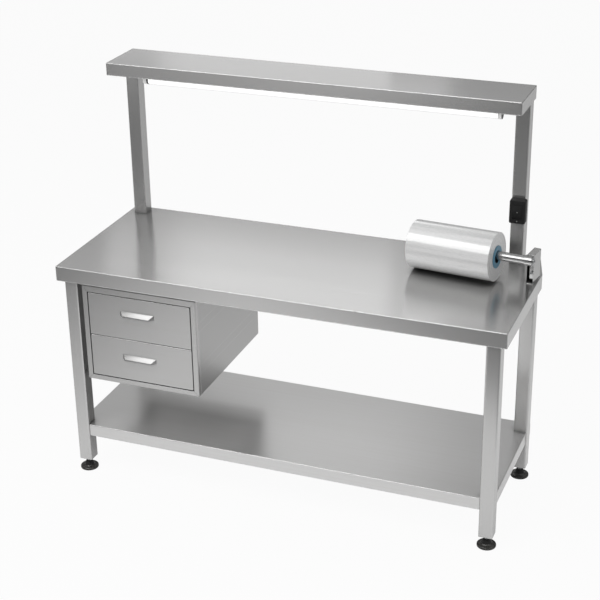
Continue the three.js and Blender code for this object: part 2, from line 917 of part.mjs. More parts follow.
const frontWidth = openingWidth - frontGap - frontWideGap;
const frontX = cabinetX + openingLeft + frontGap + frontWidth / 2;
const frontFace = cabinetFront + frontRecess;
const boxFront = frontFace + frontReturn + seatGap;
const boxRear = carcassRear - cabinetGauge - drawerRearGap;
const boxWidth = openingWidth - 2 * runnerThickness - 4 * seatGap;

function drawerBox(bottom, top) {
  const outer = rounded(centred(boxWidth, boxRear - boxFront), drawerCorner);
  const inner = inset(outer, drawerGauge);
  const hemmed = inset(outer, 2 * drawerGauge);
  return cut(
    alongZ(outer, bottom, top),
    alongZ(inner, bottom + drawerGauge, top - drawerHem),
    alongZ(hemmed, top - drawerHem - cutOverrun, top + cutOverrun),
  );
}

// A hood: its plan narrows to the lip, and its side falls from the root to the lip
function hoodSolid(rootWidth, lipWidth, reach, height, lipHeight, below) {
  const plan = [
    point(-rootWidth / 2, 0),
    point(-lipWidth / 2, -reach),
    point(lipWidth / 2, -reach),
    point(rootWidth / 2, 0),
  ];
  const side = [
    point(0, below),
    point(0, height),
    point(-reach, lipHeight),
    point(-reach, below),
  ];
  const sideReach = rootWidth / 2 + cutOverrun;
  return alongZ(plan, below - cutOverrun, height + cutOverrun).intersect(
    alongX(side.reverse(), -sideReach, sideReach),
  );
}

const hood = cut(
  hoodSolid(handleRootWidth, handleLipWidth, handleReach, handleHeight, handleLip, 0),
  hoodSolid(
    handleRootWidth - 2 * handleGauge,
    handleLipWidth - 2 * handleGauge,
    handleReach - handleGauge,
    handleHeight - handleGauge,
    handleLip - handleGauge / 2,
    -cutOverrun,
  ),
);

// Runner members, as nested channels whose backs face the carcass, the carcass, and the drawer
function channelSection(back, reach, height, gauge) {
  const half = height / 2;
  const path = [
    point(back + reach, -half),
    point(back, -half),
    point(back, half),
    point(back + reach, half),
  ];
  return stripOutline(path, -gauge * Math.sign(reach));
}
const middleHeight = runnerHeight - 2 * runnerGauge - 2 * runningGap;
const innerHeight = middleHeight - 2 * runnerGauge - 2 * runningGap;
const runnerSections = {
  outer: channelSection(0, runnerOuterReach, runnerHeight, runnerGauge),
  middle: channelSection(runnerMiddleStart, runnerMiddleReach, middleHeight, runnerGauge),
  inner: channelSection(runnerThickness, -runnerInnerReach, innerHeight, runnerGauge),
};
const runnerHalf = (runnerRear - runnerFront) / 2;
const runnerSides = [
  ["left", cabinetX - openingWidth / 2 + seatGap, 0],
  ["right", cabinetX + openingWidth / 2 - seatGap, Math.PI],
];

drawerPlaces.forEach((drawer) => {
  const box = drawerBox(drawer.bottom + drawerBottomRise, drawer.top - drawerTopDrop);
  const boxMiddle = (boxFront + boxRear) / 2;
  addPiece(table, drawer.name + "_drawer_box", box, brushedSteel, cabinetX, boxMiddle);

  const height = drawer.top - drawer.bottom;
  const front = foldedTray({
    corners: centred(frontWidth, height),
    radius: cabinetPlanRadius,
    top: frontReturn,
    rim: frontReturn,
    gauge: cabinetGauge,
    fold: cabinetFold,
    lip: frontLip,
  });
  const frontMesh = addPiece(
    table,
    drawer.name + "_drawer_front",
    front,
    brushedSteel,
    frontX,
    frontFace + frontReturn,
    runnerMiddle(drawer),
  );
  frontMesh.rotation.x = quarterTurn;

  addPiece(
    table,
    drawer.name + "_drawer_handle",
    hood,
    brightSteel,
    cabinetX + handleOffset,
    frontFace - seatGap,
    drawer.top - drawer.handleDrop - handleHeight,
  );

  runnerSides.forEach(([side, x, turn]) => {
    Object.entries(runnerSections).forEach(([member, section]) => {
      const channel = alongY(section, -runnerHalf, runnerHalf);
      const name = drawer.name + "_" + side + "_runner_" + member;
      const mesh = addPiece(
        table,
        name,
        channel,
        zincSteel,
        x,
        runnerFront + runnerHalf,
        runnerMiddle(drawer),
      );
      mesh.rotation.z = turn;
    });
  });
});

// Roll holder: the bracket stands turned on the worktop

const holder = new THREE.Group();
holder.position.set(rightEnd - holderRightInset, rearEdge - holderRearInset, worktopHeight);
holder.rotation.z = holderYaw;
table.add(holder);

const halfBracket = bracketWidth / 2;
const bracketFront = -bracketDepth / 2;
const bracketRear = bracketDepth / 2;
const basePlate = alongZ(
  rounded(
    rectangle(
      -halfBracket - baseSideOverlap,
      halfBracket + baseSideOverlap,
      bracketFront - baseFrontOverlap,
      bracketRear,
    ),
    [baseCorner, baseCorner, baseThickness, baseThickness],
  ),
  seatGap,
  seatGap + baseThickness,
);
addPiece(holder, "bracket_base", basePlate, brushedSteel);

const plateX = halfBracket - bracketGauge - seatGap - plateWidth / 2;
const housingBottom = 2 * seatGap + baseThickness;
const housingPlan = rounded(
  rectangle(-halfBracket, halfBracket, bracketFront - cutOverrun, bracketRear),
  foldRadius,
);
const clampRoom = clampShankRadius + seatGap;
const clampHole = alongY(
  circle(clampRoom, smallFacets, plateX, clampHeight),
  bracketFront - cutOverrun,
  bracketRear + cutOverrun,
);
const bracketHousing = cut(
  roundTopped(housingPlan, housingBottom, bracketHeight, bracketFold),
  roundTopped(
    inset(housingPlan, bracketGauge),
    housingBottom - cutOverrun,
    bracketHeight - bracketGauge,
    bracketFold - bracketGauge,
  ),
  block(
    -halfBracket - cutOverrun,
    halfBracket + cutOverrun,
    bracketFront - 2 * cutOverrun,
    bracketFront,
    0,
    bracketHeight + cutOverrun,
  ),
  clampHole,
);
addPiece(holder, "bracket_housing", bracketHousing, brushedSteel);

// Rod holder: a plate inside the bracket, a boss for the clamp bolt, a neck and the collar

const plateFront = bracketFront + plateSetback;
const bossRear = bracketRear - bracketGauge - seatGap;
const collarRadius = rodRadius + seatGap + collarWall;
function onRodAxis(profile, facets) {
  const geometry = turned(profile, facets).rotateZ(-quarterTurn).rotateY(-rodDroop);
  return solid(geometry.translate(0, -rodForward, rodHeight));
}
const rodHolder = cut(
  join(
    block(
      plateX - plateWidth / 2,
      plateX + plateWidth / 2,
      plateFront,
      plateFront + plateThickness,
      plateBottom,
      plateTop,
    ),
    block(
      plateX - neckWidth / 2,
      plateX + neckWidth / 2,
      -rodForward,
      plateFront + plateThickness,
      plateTop - neckHeight,
      plateTop,
    ),
    alongY(
      circle(clampBossRadius, smallFacets, plateX, clampHeight),
      plateFront + plateThickness / 2,
      bossRear,
    ),
    onRodAxis(rod(collarRadius, -collarLeft, collarRight), rodFacets),
  ),
  onRodAxis(rod(rodRadius + seatGap, -rodLeftEnd, rodRightEnd + cutOverrun), rodFacets),
  clampHole,
);
addPiece(holder, "rod_holder", rodHolder, darkSteel);

const clampBolt = join(
  alongY(
    circle(clampShankRadius, smallFacets, plateX, clampHeight),
    plateFront - seatGap - clampHeadHeight / 2,
    bracketRear,
  ),
  alongY(
    circle(clampHeadRadius, smallFacets, plateX, clampHeight),
    plateFront - seatGap - clampHeadHeight,
    plateFront - seatGap,
  ),
);
addPiece(holder, "clamp_bolt", clampBolt, zincSteel);

// Rod and roll, drooping a little to the left

const rodGroup = new THREE.Group();
rodGroup.position.set(0, -rodForward, rodHeight);
rodGroup.rotation.y = -rodDroop;
holder.add(rodGroup);

const rodBore = rodRadius - rodWall;
const rollRod = turnedAboutX(
  [
    [rodBore, -rodLeftEnd],
    [rodRadius, -rodLeftEnd],
    [rodRadius, rodRightEnd],
    [rodBore, rodRightEnd],
    [rodBore, -rodLeftEnd],
  ],
  rodFacets,
);
addPiece(rodGroup, "roll_rod", rollRod, brightSteel);

const headStart = rodRightEnd + seatGap;
const endBolt = turnedAboutX(
  [
    [0, rodRightEnd - endBoltPlugLength],
    [rodBore - seatGap, rodRightEnd - endBoltPlugLength],
    [rodBore - seatGap, headStart],
    [endBoltHeadRadius, headStart],
    [endBoltHeadRadius, headStart + endBoltHeadHeight / 2],
    [endBoltHeadRadius / 2, headStart + endBoltHeadHeight],
    [0, headStart + endBoltHeadHeight],
  ],
  smallFacets,
);
addPiece(rodGroup, "rod_end_bolt", endBolt, zincSteel);

// The roll hangs on the rod by its plugs, so its axis lies below the rod's.
const rollGroup = new THREE.Group();
rollGroup.position.z = -(plugBore - rodRadius - seatGap);
rodGroup.add(rollGroup);

const rollRight = -rollStart;
const rollLeft = rollRight - rollLength;
const filmBore = coreRadius + seatGap;
const film = turnedAboutX(
  [
    [filmBore, rollLeft],
    [filmRadius - filmEdge, rollLeft],
    [filmRadius, rollLeft + filmEdge],
    [filmRadius, rollRight - filmEdge],
    [filmRadius - filmEdge, rollRight],
    [filmBore, rollRight],
    [filmBore, rollLeft],
  ],
  rollFacets,
);
addPiece(rollGroup, "film_roll", film, filmPlastic);

const core = turnedAboutX(
  [
    [coreBore, rollLeft],
    [coreRadius, rollLeft],
    [coreRadius, rollRight],
    [coreBore, rollRight],
    [coreBore, rollLeft],
  ],
  rodFacets,
);
addPiece(rollGroup, "film_core", core, cardboard);

// A plug has a flange over the core's end and a spigot inside the core.
const spigotRadius = coreBore - seatGap;
const corePlug = turnedAboutX(
  [
    [plugBore, -plugSpigot],
    [spigotRadius - plugChamfer, -plugSpigot],
    [spigotRadius, -plugSpigot + plugChamfer],
    [spigotRadius, seatGap],
    [coreRadius, seatGap],
    [coreRadius, seatGap + plugFlange - plugChamfer],
    [coreRadius - plugChamfer, seatGap + plugFlange],
    [plugBore, seatGap + plugFlange],
    [plugBore, -plugSpigot],
  ],
  rodFacets,
);
addPiece(rollGroup, "right_core_plug", corePlug, bluePlastic, rollRight);
const leftPlug = addPiece(rollGroup, "left_core_plug", corePlug, bluePlastic, rollLeft);
leftPlug.rotation.z = Math.PI;

export default table;
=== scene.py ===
import math

import bmesh
import bpy
from mathutils import Matrix, Vector


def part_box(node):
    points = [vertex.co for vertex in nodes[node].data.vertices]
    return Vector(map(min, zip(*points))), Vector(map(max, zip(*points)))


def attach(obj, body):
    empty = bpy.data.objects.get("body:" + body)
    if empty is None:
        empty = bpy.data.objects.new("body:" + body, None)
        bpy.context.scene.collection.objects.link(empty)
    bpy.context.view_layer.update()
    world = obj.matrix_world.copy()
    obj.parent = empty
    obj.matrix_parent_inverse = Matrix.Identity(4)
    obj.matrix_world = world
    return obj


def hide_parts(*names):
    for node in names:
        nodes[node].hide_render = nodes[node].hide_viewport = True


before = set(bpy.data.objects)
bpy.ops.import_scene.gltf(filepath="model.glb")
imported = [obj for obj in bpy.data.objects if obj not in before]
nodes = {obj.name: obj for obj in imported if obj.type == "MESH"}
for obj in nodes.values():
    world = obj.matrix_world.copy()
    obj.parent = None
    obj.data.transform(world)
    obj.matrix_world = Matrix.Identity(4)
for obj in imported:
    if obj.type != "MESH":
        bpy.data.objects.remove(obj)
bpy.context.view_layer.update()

bpy.ops.object.select_all(action="DESELECT")
print("frame loaded:", len(nodes), "nodes")

# Camera, placed round a point above the middle of the table
cameraSetup = {
    "azimuth": 21.567,
    "elevation": 24.508,
    "roll": -0.9125,
    "distance": 5.7554,
    "pan": (-0.0238, 0.0148),
    "aimHeight": 0.77,
    "lens": 87.74,
    "sensor": 36.0,
    "shift": (0.0047, -0.0097),
}


def makeCamera(setup):
    azimuth = math.radians(setup["azimuth"])
    elevation = math.radians(setup["elevation"])
    roll = math.radians(setup["roll"])
    forward = Vector((
        -math.sin(azimuth) * math.cos(elevation),
        math.cos(azimuth) * math.cos(elevation),
        -math.sin(elevation),
    ))
    level = Vector((math.cos(azimuth), math.sin(azimuth), 0))
    upright = level.cross(forward)
    right = level * math.cos(roll) + upright * math.sin(roll)
    up = upright * math.cos(roll) - level * math.sin(roll)
    place = right * setup["pan"][0] + up * setup["pan"][1] - forward * setup["distance"]
    place.z += setup["aimHeight"]
    turn = Matrix((right, up, -forward)).transposed().to_4x4()
    data = bpy.data.cameras.new("camera")
    data.lens = setup["lens"]
    data.sensor_width = setup["sensor"]
    data.shift_x, data.shift_y = setup["shift"]
    camera = bpy.data.objects.new("camera", data)
    bpy.context.scene.collection.objects.link(camera)
    camera.matrix_world = Matrix.Translation(place) @ turn
    bpy.context.scene.camera = camera


makeCamera(cameraSetup)
bpy.context.scene.view_settings.view_transform = "Standard"


# Node trees

def addNode(tree, kind, inputs=None, **values):
    node = tree.nodes.new(kind)
    for name, value in values.items():
        setattr(node, name, value)
    for name, value in (inputs or {}).items():
        node.inputs[name].default_value = value
    return node


def newTree(name):
    material = bpy.data.materials.new(name)
    material.use_nodes = True
    return material, material.node_tree, material.node_tree.nodes["Principled BSDF"]


def combined(tree, operation, first, second):
    node = addNode(tree, "ShaderNodeMath", operation=operation)
    tree.links.new(first, node.inputs[0])
    tree.links.new(second, node.inputs[1])
    return node.outputs[0]


def greatest(tree, first, second):
    return combined(tree, "MAXIMUM", first, second)


def product(tree, first, second):
    return combined(tree, "MULTIPLY", first, second)


# The value spread from one range to another, and held at its ends
def rangeOf(tree, value, low, high, fromLow=0.3, fromHigh=0.7):
    ends = {"From Min": fromLow, "From Max": fromHigh, "To Min": low, "To Max": high}
    spread = addNode(tree, "ShaderNodeMapRange", ends)
    tree.links.new(value, spread.inputs["Value"])
    return spread.outputs[0]


def whereOn(tree):
    return addNode(tree, "ShaderNodeTexCoord").outputs["Object"]


def split(tree, vector):
    node = addNode(tree, "ShaderNodeSeparateXYZ")
    tree.links.new(vector, node.inputs[0])
    return node.outputs


# World: white where the camera and glass look, and a studio for light and metal: its rear is pale,
# its front is darker, and its ceiling is dim as light but bright in a reflection
worldSetup = {
    "light": 1.9,
    "frontTone": 0.1,
    "rearTone": 0.23,
    "frontToRear": (-0.55, 0.45),
    "ceilingShade": 0.6,
    "ceilingRise": (0.55, 0.9),
    "ceilingShine": 1.0,
    "shineRise": (0.55, 0.8),
}


def makeWorld(setup):
    world = bpy.data.worlds.new("studio")
    bpy.context.scene.world = world
    world.use_nodes = True
    tree = world.node_tree
    tree.nodes.clear()
    output = addNode(tree, "ShaderNodeOutputWorld")
    path = addNode(tree, "ShaderNodeLightPath").outputs
    white = addNode(tree, "ShaderNodeBackground", {"Color": (1, 1, 1, 1), "Strength": 1.0})
    studio = addNode(tree, "ShaderNodeBackground", {"Color": (1, 1, 1, 1)})
    way = split(tree, addNode(tree, "ShaderNodeTexCoord").outputs["Generated"])
    rear = rangeOf(tree, way["Y"], setup["frontTone"], setup["rearTone"], *setup["frontToRear"])
    ceiling = rangeOf(tree, way["Z"], 1.0, setup["ceilingShade"], *setup["ceilingRise"])
    metal = rangeOf(tree, path["Is Glossy Ray"], setup["light"], 1.0, 0.0, 1.0)
    shine = rangeOf(tree, way["Z"], 0.0, setup["ceilingShine"], *setup["shineRise"])
    room = product(tree, product(tree, rear, ceiling), metal)
    shine = product(tree, shine, path["Is Glossy Ray"])
    tree.links.new(greatest(tree, room, shine), studio.inputs["Strength"])
    mix = addNode(tree, "ShaderNodeMixShader")
    seen = greatest(tree, path["Is Camera Ray"], path["Is Transmission Ray"])
    tree.links.new(seen, mix.inputs["Fac"])
    tree.links.new(studio.outputs[0], mix.inputs[1])
    tree.links.new(white.outputs[0], mix.inputs[2])
    tree.links.new(mix.outputs[0], output.inputs["Surface"])


makeWorld(worldSetup)

# Lamps: a soft box in front to the left, high up, panels behind, near and far, and a weak fill
lampSetups = {
    "frontSoftbox": {
        "place": (-1.0, -2.3, 3.7),
        "aim": (0.1, 0, 0.8),
        "size": (3.2, 2.4),
        "power": 80,
    },
    "nearPanel": {
        "place": (-1.1, 1.9, 1.93),
        "aim": (-1.1, -0.3, 1.93),
        "size": (1.7, 0.28),
        "power": 1.3,
    },
    "farPanel": {
        "place": (-1.6, 4.0, 3.67),
        "aim": (-1.6, 0, 3.67),
        "size": (2.1, 1.7),
        "power": 7.1,
    },
    "widePanel": {
        "place": (-1.6, 4.1, 3.67),
        "aim": (-1.6, 0, 3.67),
        "size": (5.0, 1.7),
        "power": 12.3,
    },
    "rightFill": {
        "place": (3.4, -1.4, 2.4),
        "aim": (0.2, 0, 0.7),
        "size": (1.8, 1.8),
        "power": 12,
    },
}


def makeLight(name, setup):
    data = bpy.data.lights.new(name, "AREA")
    data.shape = "RECTANGLE"
    data.size, data.size_y = setup["size"]
    data.energy = setup["power"]
    light = bpy.data.objects.new(name, data)
    bpy.context.scene.collection.objects.link(light)
    light.location = setup["place"]
    way = Vector(setup["aim"]) - Vector(setup["place"])
    light.rotation_euler = way.to_track_quat("-Z", "Y").to_euler()
    light.visible_camera = False


for name, setup in lampSetups.items():
    makeLight(name, setup)

# Floor: pale, white to the camera, and it keeps the table's shadow. Metal sees it with painted
# pools of light, a painted darker rear and painted shade under the shelf and the feet
floorSetup = {
    "size": 30.0,
    "tone": 0.8,
    "cameraWhite": 0.95,
    "glossyWhite": 0.82,
    "dimTone": 0.12,
    # painted pools of light on the floor, seen only in metal
    "fields": [  # each edge has its way, where it begins along that way, and where it is full
        {
            "tone": 1.15,
            "edges": [
                ((1, 0, 0), -2.1, -0.95),
                ((-0.59, 0.806, 0), -1.72, -1.46),
                ((0, 1, 0), -3.1, -2.5),
                ((0, -1, 0), -0.2, 0.3),
            ],
        },
        {
            "tone": 1.3,
            "edges": [
                ((0, -1, 0), 4.4, 4.85),
                ((-1, 0, 0), 0.4, 1.7),
                ((1, 0, 0), -5.2, -3.6),
            ],
        },
    ],
    "rear": (-1.5, -0.6),  # the pale floor behind begins between these places
    "rearFade": (0.7, 2.4),  # and fades between these
    "farTone": 0.72,
    "shadeReach": 0.35,  # painted shade: under the shelf and the feet metal sees a darker floor
    "shadeTone": 0.15,
    "shadeRange": (0.2, 0.85),
}


def fieldOn(tree, coordinates, field, dim):
    share = None
    for way, begins, full in field["edges"]:
        along = addNode(tree, "ShaderNodeVectorMath", operation="DOT_PRODUCT")
        along.inputs[1].default_value = way
        tree.links.new(coordinates, along.inputs[0])
        edge = rangeOf(tree, along.outputs["Value"], 0.0, 1.0, begins, full)
        share = product(tree, share, edge) if share else edge
    return rangeOf(tree, share, dim, field["tone"], 0.0, 1.0)


def makeFloor(setup):
    bpy.ops.mesh.primitive_plane_add(size=setup["size"], location=(0, 0, 0))
    floor = bpy.context.active_object
    floor.name = "floor"
    material = bpy.data.materials.new("paleFloor")
    material.use_nodes = True
    tree = material.node_tree
    tree.nodes.clear()
    output = addNode(tree, "ShaderNodeOutputMaterial")
    diffuse = addNode(tree, "ShaderNodeBsdfDiffuse", {"Color": [setup["tone"]] * 3 + [1]})
    white = addNode(tree, "ShaderNodeEmission", {"Color": (1, 1, 1, 1)})
    path = addNode(tree, "ShaderNodeLightPath").outputs
    coordinates = whereOn(tree)
    depth = split(tree, coordinates)["Y"]
    shown = product(tree, rangeOf(tree, depth, setup["dimTone"], 1.0, *setup["rear"]),
                    rangeOf(tree, depth, 1.0, setup["farTone"], *setup["rearFade"]))
    for field in setup["fields"]:
        shown = greatest(tree, shown, fieldOn(tree, coordinates, field, setup["dimTone"]))
    # painted shade: metal sees the floor darker where the shelf and the feet are near
    reach = {"Distance": setup["shadeReach"]}
    covered = addNode(tree, "ShaderNodeAmbientOcclusion", reach, samples=4).outputs["AO"]
    shown = product(tree, shown, rangeOf(tree, covered, setup["shadeTone"], 1.0,
                                         *setup["shadeRange"]))
    shown = product(tree, shown, path["Is Glossy Ray"])
    tree.links.new(greatest(tree, shown, path["Is Camera Ray"]), white.inputs["Strength"])
    camera = rangeOf(tree, path["Is Camera Ray"], 0.0, setup["cameraWhite"], 0.0, 1.0)
    metal = rangeOf(tree, path["Is Glossy Ray"], 0.0, setup["glossyWhite"], 0.0, 1.0)
    mix = addNode(tree, "ShaderNodeMixShader")
    tree.links.new(greatest(tree, camera, metal), mix.inputs["Fac"])
    tree.links.new(diffuse.outputs[0], mix.inputs[1])
    tree.links.new(white.outputs[0], mix.inputs[2])
    tree.links.new(mix.outputs[0], output.inputs["Surface"])
    floor.data.materials.append(material)
    floor.select_set(False)


makeFloor(floorSetup)
print("camera, lamps and floor are in place")


# Finishes

def noiseOn(tree, vector, scale=1.0, detail=3.0):
    noise = addNode(tree, "ShaderNodeTexNoise", {"Scale": scale, "Detail": detail})
    tree.links.new(vector, noise.inputs["Vector"])
    return noise.outputs["Fac"]


def stretched(tree, coordinates, scale):
    mapping = addNode(tree, "ShaderNodeMapping", {"Scale": scale})
    tree.links.new(coordinates, mapping.inputs["Vector"])
    return mapping.outputs[0]


def bumpFrom(tree, height, strength, distance):
    bump = addNode(tree, "ShaderNodeBump", {"Strength": strength, "Distance": distance})
    tree.links.new(height, bump.inputs["Height"])
    return bump


def rampOf(tree, value, low, high, start, end):
    ramp = addNode(tree, "ShaderNodeValToRGB")
    for element, place, colour in zip(ramp.color_ramp.elements, (start, end), (low, high)):
        element.position = place
        element.color = (*colour, 1)
    tree.links.new(value, ramp.inputs["Fac"])
    return ramp.outputs["Color"]


def tinted(tone, tint):
    return [min(1, tone * part) for part in tint]


def blended(tree, share, ground, colour, **values):
    mix = addNode(tree, "ShaderNodeMix", data_type="RGBA", **values)
    mix.inputs[7].default_value = (*colour, 1)
    tree.links.new(share, mix.inputs[0])
    tree.links.new(ground, mix.inputs[6])
    return mix.outputs[2]


# Brushed sheet and tube: fine lines along one axis, clouds from the polishing, folds painted paler
# as a painted highlight, and crevices painted darker as painted shade
brushedSetup = {
    "metallic": 0.82,
    "quarterTurn": 0.25,  # light spreads across the brushing
    "anisotropy": 0.7,
    "grain": 420,
    "grainAlong": 1.2,
    "cloud": 5,
    "cloudAlong": 0.8,
    "cloudDetail": 1.0,
    "darkTint": (0.972, 0.963, 0.95),
    "lightTint": (1.03, 1.03, 1.03),
    "lineRange": (0.2, 0.8),
    "fold": 0.0035,  # radius of a fold's painted highlight
    "wear": 0.5,
    "wearRange": (0.72, 0.98),
    "crevice": 0.045,
    "creviceTone": 0.22,
    "creviceRange": (0.2, 0.75),
    "roughSpread": (-0.02, 0.03),
    "cloudRange": (0.1, 0.9),
    "bump": (0.03, 0.0003),
}


def brushedSteel(name, along, tone, roughness, **changes):
    setup = {**brushedSetup, **changes}
    material, tree, shader = newTree(name)
    shader.inputs["Metallic"].default_value = setup["metallic"]
    shader.inputs["Anisotropic"].default_value = setup["anisotropy"]
    shader.inputs["Anisotropic Rotation"].default_value = setup["quarterTurn"]
    coordinates = whereOn(tree)
    lineScale = [setup["grainAlong"] if axis == along else setup["grain"] for axis in "XYZ"]
    cloudScale = [setup["cloudAlong"] if axis == along else setup["cloud"] for axis in "XYZ"]
    lines = noiseOn(tree, stretched(tree, coordinates, lineScale))
    clouds = noiseOn(tree, stretched(tree, coordinates, cloudScale), detail=setup["cloudDetail"])
    ground = rampOf(tree, lines, tinted(tone, setup["darkTint"]),
                    tinted(tone, setup["lightTint"]), *setup["lineRange"])
    soft = addNode(tree, "ShaderNodeBevel", {"Radius": setup["fold"]}, samples=4).outputs[0]
    turned = addNode(tree, "ShaderNodeVectorMath", operation="DOT_PRODUCT")
    tree.links.new(soft, turned.inputs[0])
    flat = addNode(tree, "ShaderNodeNewGeometry").outputs["Normal"]
    tree.links.new(flat, turned.inputs[1])
    # painted highlight: where the bevel normal turns away from the flat one, at folds, the colour
    # is painted paler
    foldHighlightShare = rangeOf(tree, turned.outputs["Value"], 1.0, 0.0, *setup["wearRange"])
    ground = blended(tree, foldHighlightShare, ground, [min(1, tone + setup["wear"])] * 3)
    # painted shade: where other surfaces are near, in gaps, corners and under things, the colour
    # is painted darker
    reach = {"Distance": setup["crevice"]}
    openness = addNode(tree, "ShaderNodeAmbientOcclusion", reach, samples=6).outputs["AO"]
    creviceShade = rangeOf(tree, openness, 1.0, 0.0, *setup["creviceRange"])
    ground = blended(tree, creviceShade, ground, [setup["creviceTone"]] * 3, blend_type="MULTIPLY")
    tree.links.new(ground, shader.inputs["Base Color"])
    smoother, duller = [roughness + part for part in setup["roughSpread"]]
    dull = rangeOf(tree, clouds, smoother, duller, *setup["cloudRange"])
    tree.links.new(dull, shader.inputs["Roughness"])
    bump = bumpFrom(tree, lines, *setup["bump"])
    tree.links.new(soft, bump.inputs["Normal"])
    tree.links.new(bump.outputs["Normal"], shader.inputs["Normal"])
    direction = addNode(tree, "ShaderNodeCombineXYZ", {along: 1.0})
    tree.links.new(direction.outputs[0], shader.inputs["Tangent"])
    return material


# Fine grain all ways, for what isn't brushed
grainDetail = 4.0
cloudDetail = 3.0


def grainedSkin(name, dark, light, roughness, setup):
    material, tree, shader = newTree(name)
    coordinates = whereOn(tree)
    grain = noiseOn(tree, coordinates, setup["grain"], grainDetail)
    clouds = noiseOn(tree, coordinates, setup["cloud"], cloudDetail)
    ground = rampOf(tree, grain, dark, light, *setup["grainRange"])
    smoother, duller = [roughness + part for part in setup["roughSpread"]]
    tree.links.new(ground, shader.inputs["Base Color"])
    tree.links.new(rangeOf(tree, clouds, smoother, duller), shader.inputs["Roughness"])
    bump = bumpFrom(tree, grain, *setup["bump"])
    tree.links.new(bump.outputs["Normal"], shader.inputs["Normal"])
    return material, tree, shader


# Turned or plated metal
platedSetup = {
    "grain": 240,
    "cloud": 30,
    "grainRange": (0.3, 0.7),
    "darkShare": 0.9,
    "lightShare": 1.08,
    "roughSpread": (-0.06, 0.08),
    "bump": (0.08, 0.0002),
}


def platedSteel(name, tone, roughness, tint=(1, 1, 1)):
    dark = tinted(tone * platedSetup["darkShare"], tint)
    light = tinted(tone * platedSetup["lightShare"], tint)
    material, tree, shader = grainedSkin(name, dark, light, roughness, platedSetup)
    shader.inputs["Metallic"].default_value = 1.0
    return material


# Moulded plastic, rubber and card
mouldedSetup = {
    "grain": 320,
    "cloud": 18,
    "grainRange": (0.35, 0.65),
    "speckle": 0.04,
    "roughSpread": (-0.06, 0.08),
    "bump": (0.06, 0.0003),
    "lowerEdgeShadeTone": 0.08,
}


# With a rim, the glow fades towards a lower edge, between its two heights: painted shade along
# that edge
def mouldedSkin(name, colour, roughness, glow=0.0, rim=None, **changes):
    setup = {**mouldedSetup, **changes}
    dark, light = tinted(1 - setup["speckle"], colour), tinted(1 + setup["speckle"], colour)
    material, tree, shader = grainedSkin(name, dark, light, roughness, setup)
    if glow:
        shader.inputs["Emission Color"].default_value = (1, 1, 1, 1)
        shader.inputs["Emission Strength"].default_value = glow
    if rim:
        lit = rangeOf(tree, split(tree, whereOn(tree))["Z"], setup["lowerEdgeShadeTone"], 1.0, *rim)
        tree.links.new(lit, shader.inputs["Emission Color"])
    return material


# Holder: the bracket stands turned on the worktop, and the rod droops a little to the left
holderSetup = {
    "place": (0.8775, 0.135, 0.92),
    "yaw": -7.5,
    "rodForward": 0.0806,
    "rodHeight": 0.1115,
    "droop": 1.2,
    "rollDrop": 0.0062,
}


def turnedBy(degrees, axis):
    return Matrix.Rotation(math.radians(degrees), 4, axis)


holderPlace = Matrix.Translation(holderSetup["place"]) @ turnedBy(holderSetup["yaw"], "Z")
rodStart = (0, -holderSetup["rodForward"], holderSetup["rodHeight"])
rodPlace = holderPlace @ Matrix.Translation(rodStart) @ turnedBy(-holderSetup["droop"], "Y")
rollPlace = rodPlace @ Matrix.Translation((0, 0, -holderSetup["rollDrop"]))
alongRod = turnedBy(90, "Y")  # a piece turned about Z then lies along the rod

# Wound film: long pale streaks along the roll, fine dotted lines, rings on its ends
filmSetup = {
    "middle": -0.284,  # of the roll, along the rod
    "glass": {
        "IOR": 1.5,
        "Coat Weight": 1.0,
        "Coat Roughness": 0.1,
        "Coat IOR": 1.75,
    },
    "streaks": (0.9, 26, 26),
    "streakDetail": 5.0,
    "dots": (60, 420, 420),
    "dotDetail": 2.0,
    "rings": 900.0,
    "ringDetail": 4.0,
    "ringRange": (0.46, 0.68),
    "sideFrom": (0.0925, 0.0937),  # radii between which the rings give way to the streaks
    "darkTone": (0.74, 0.745, 0.745),
    "lightTone": (0.97, 0.97, 0.97),
    "toneRange": (0.36, 0.58),
    "roughness": (0.2, 0.36),
    "coarseBump": (0.25, 0.0012),
    "fineBump": (0.12, 0.0003),
}


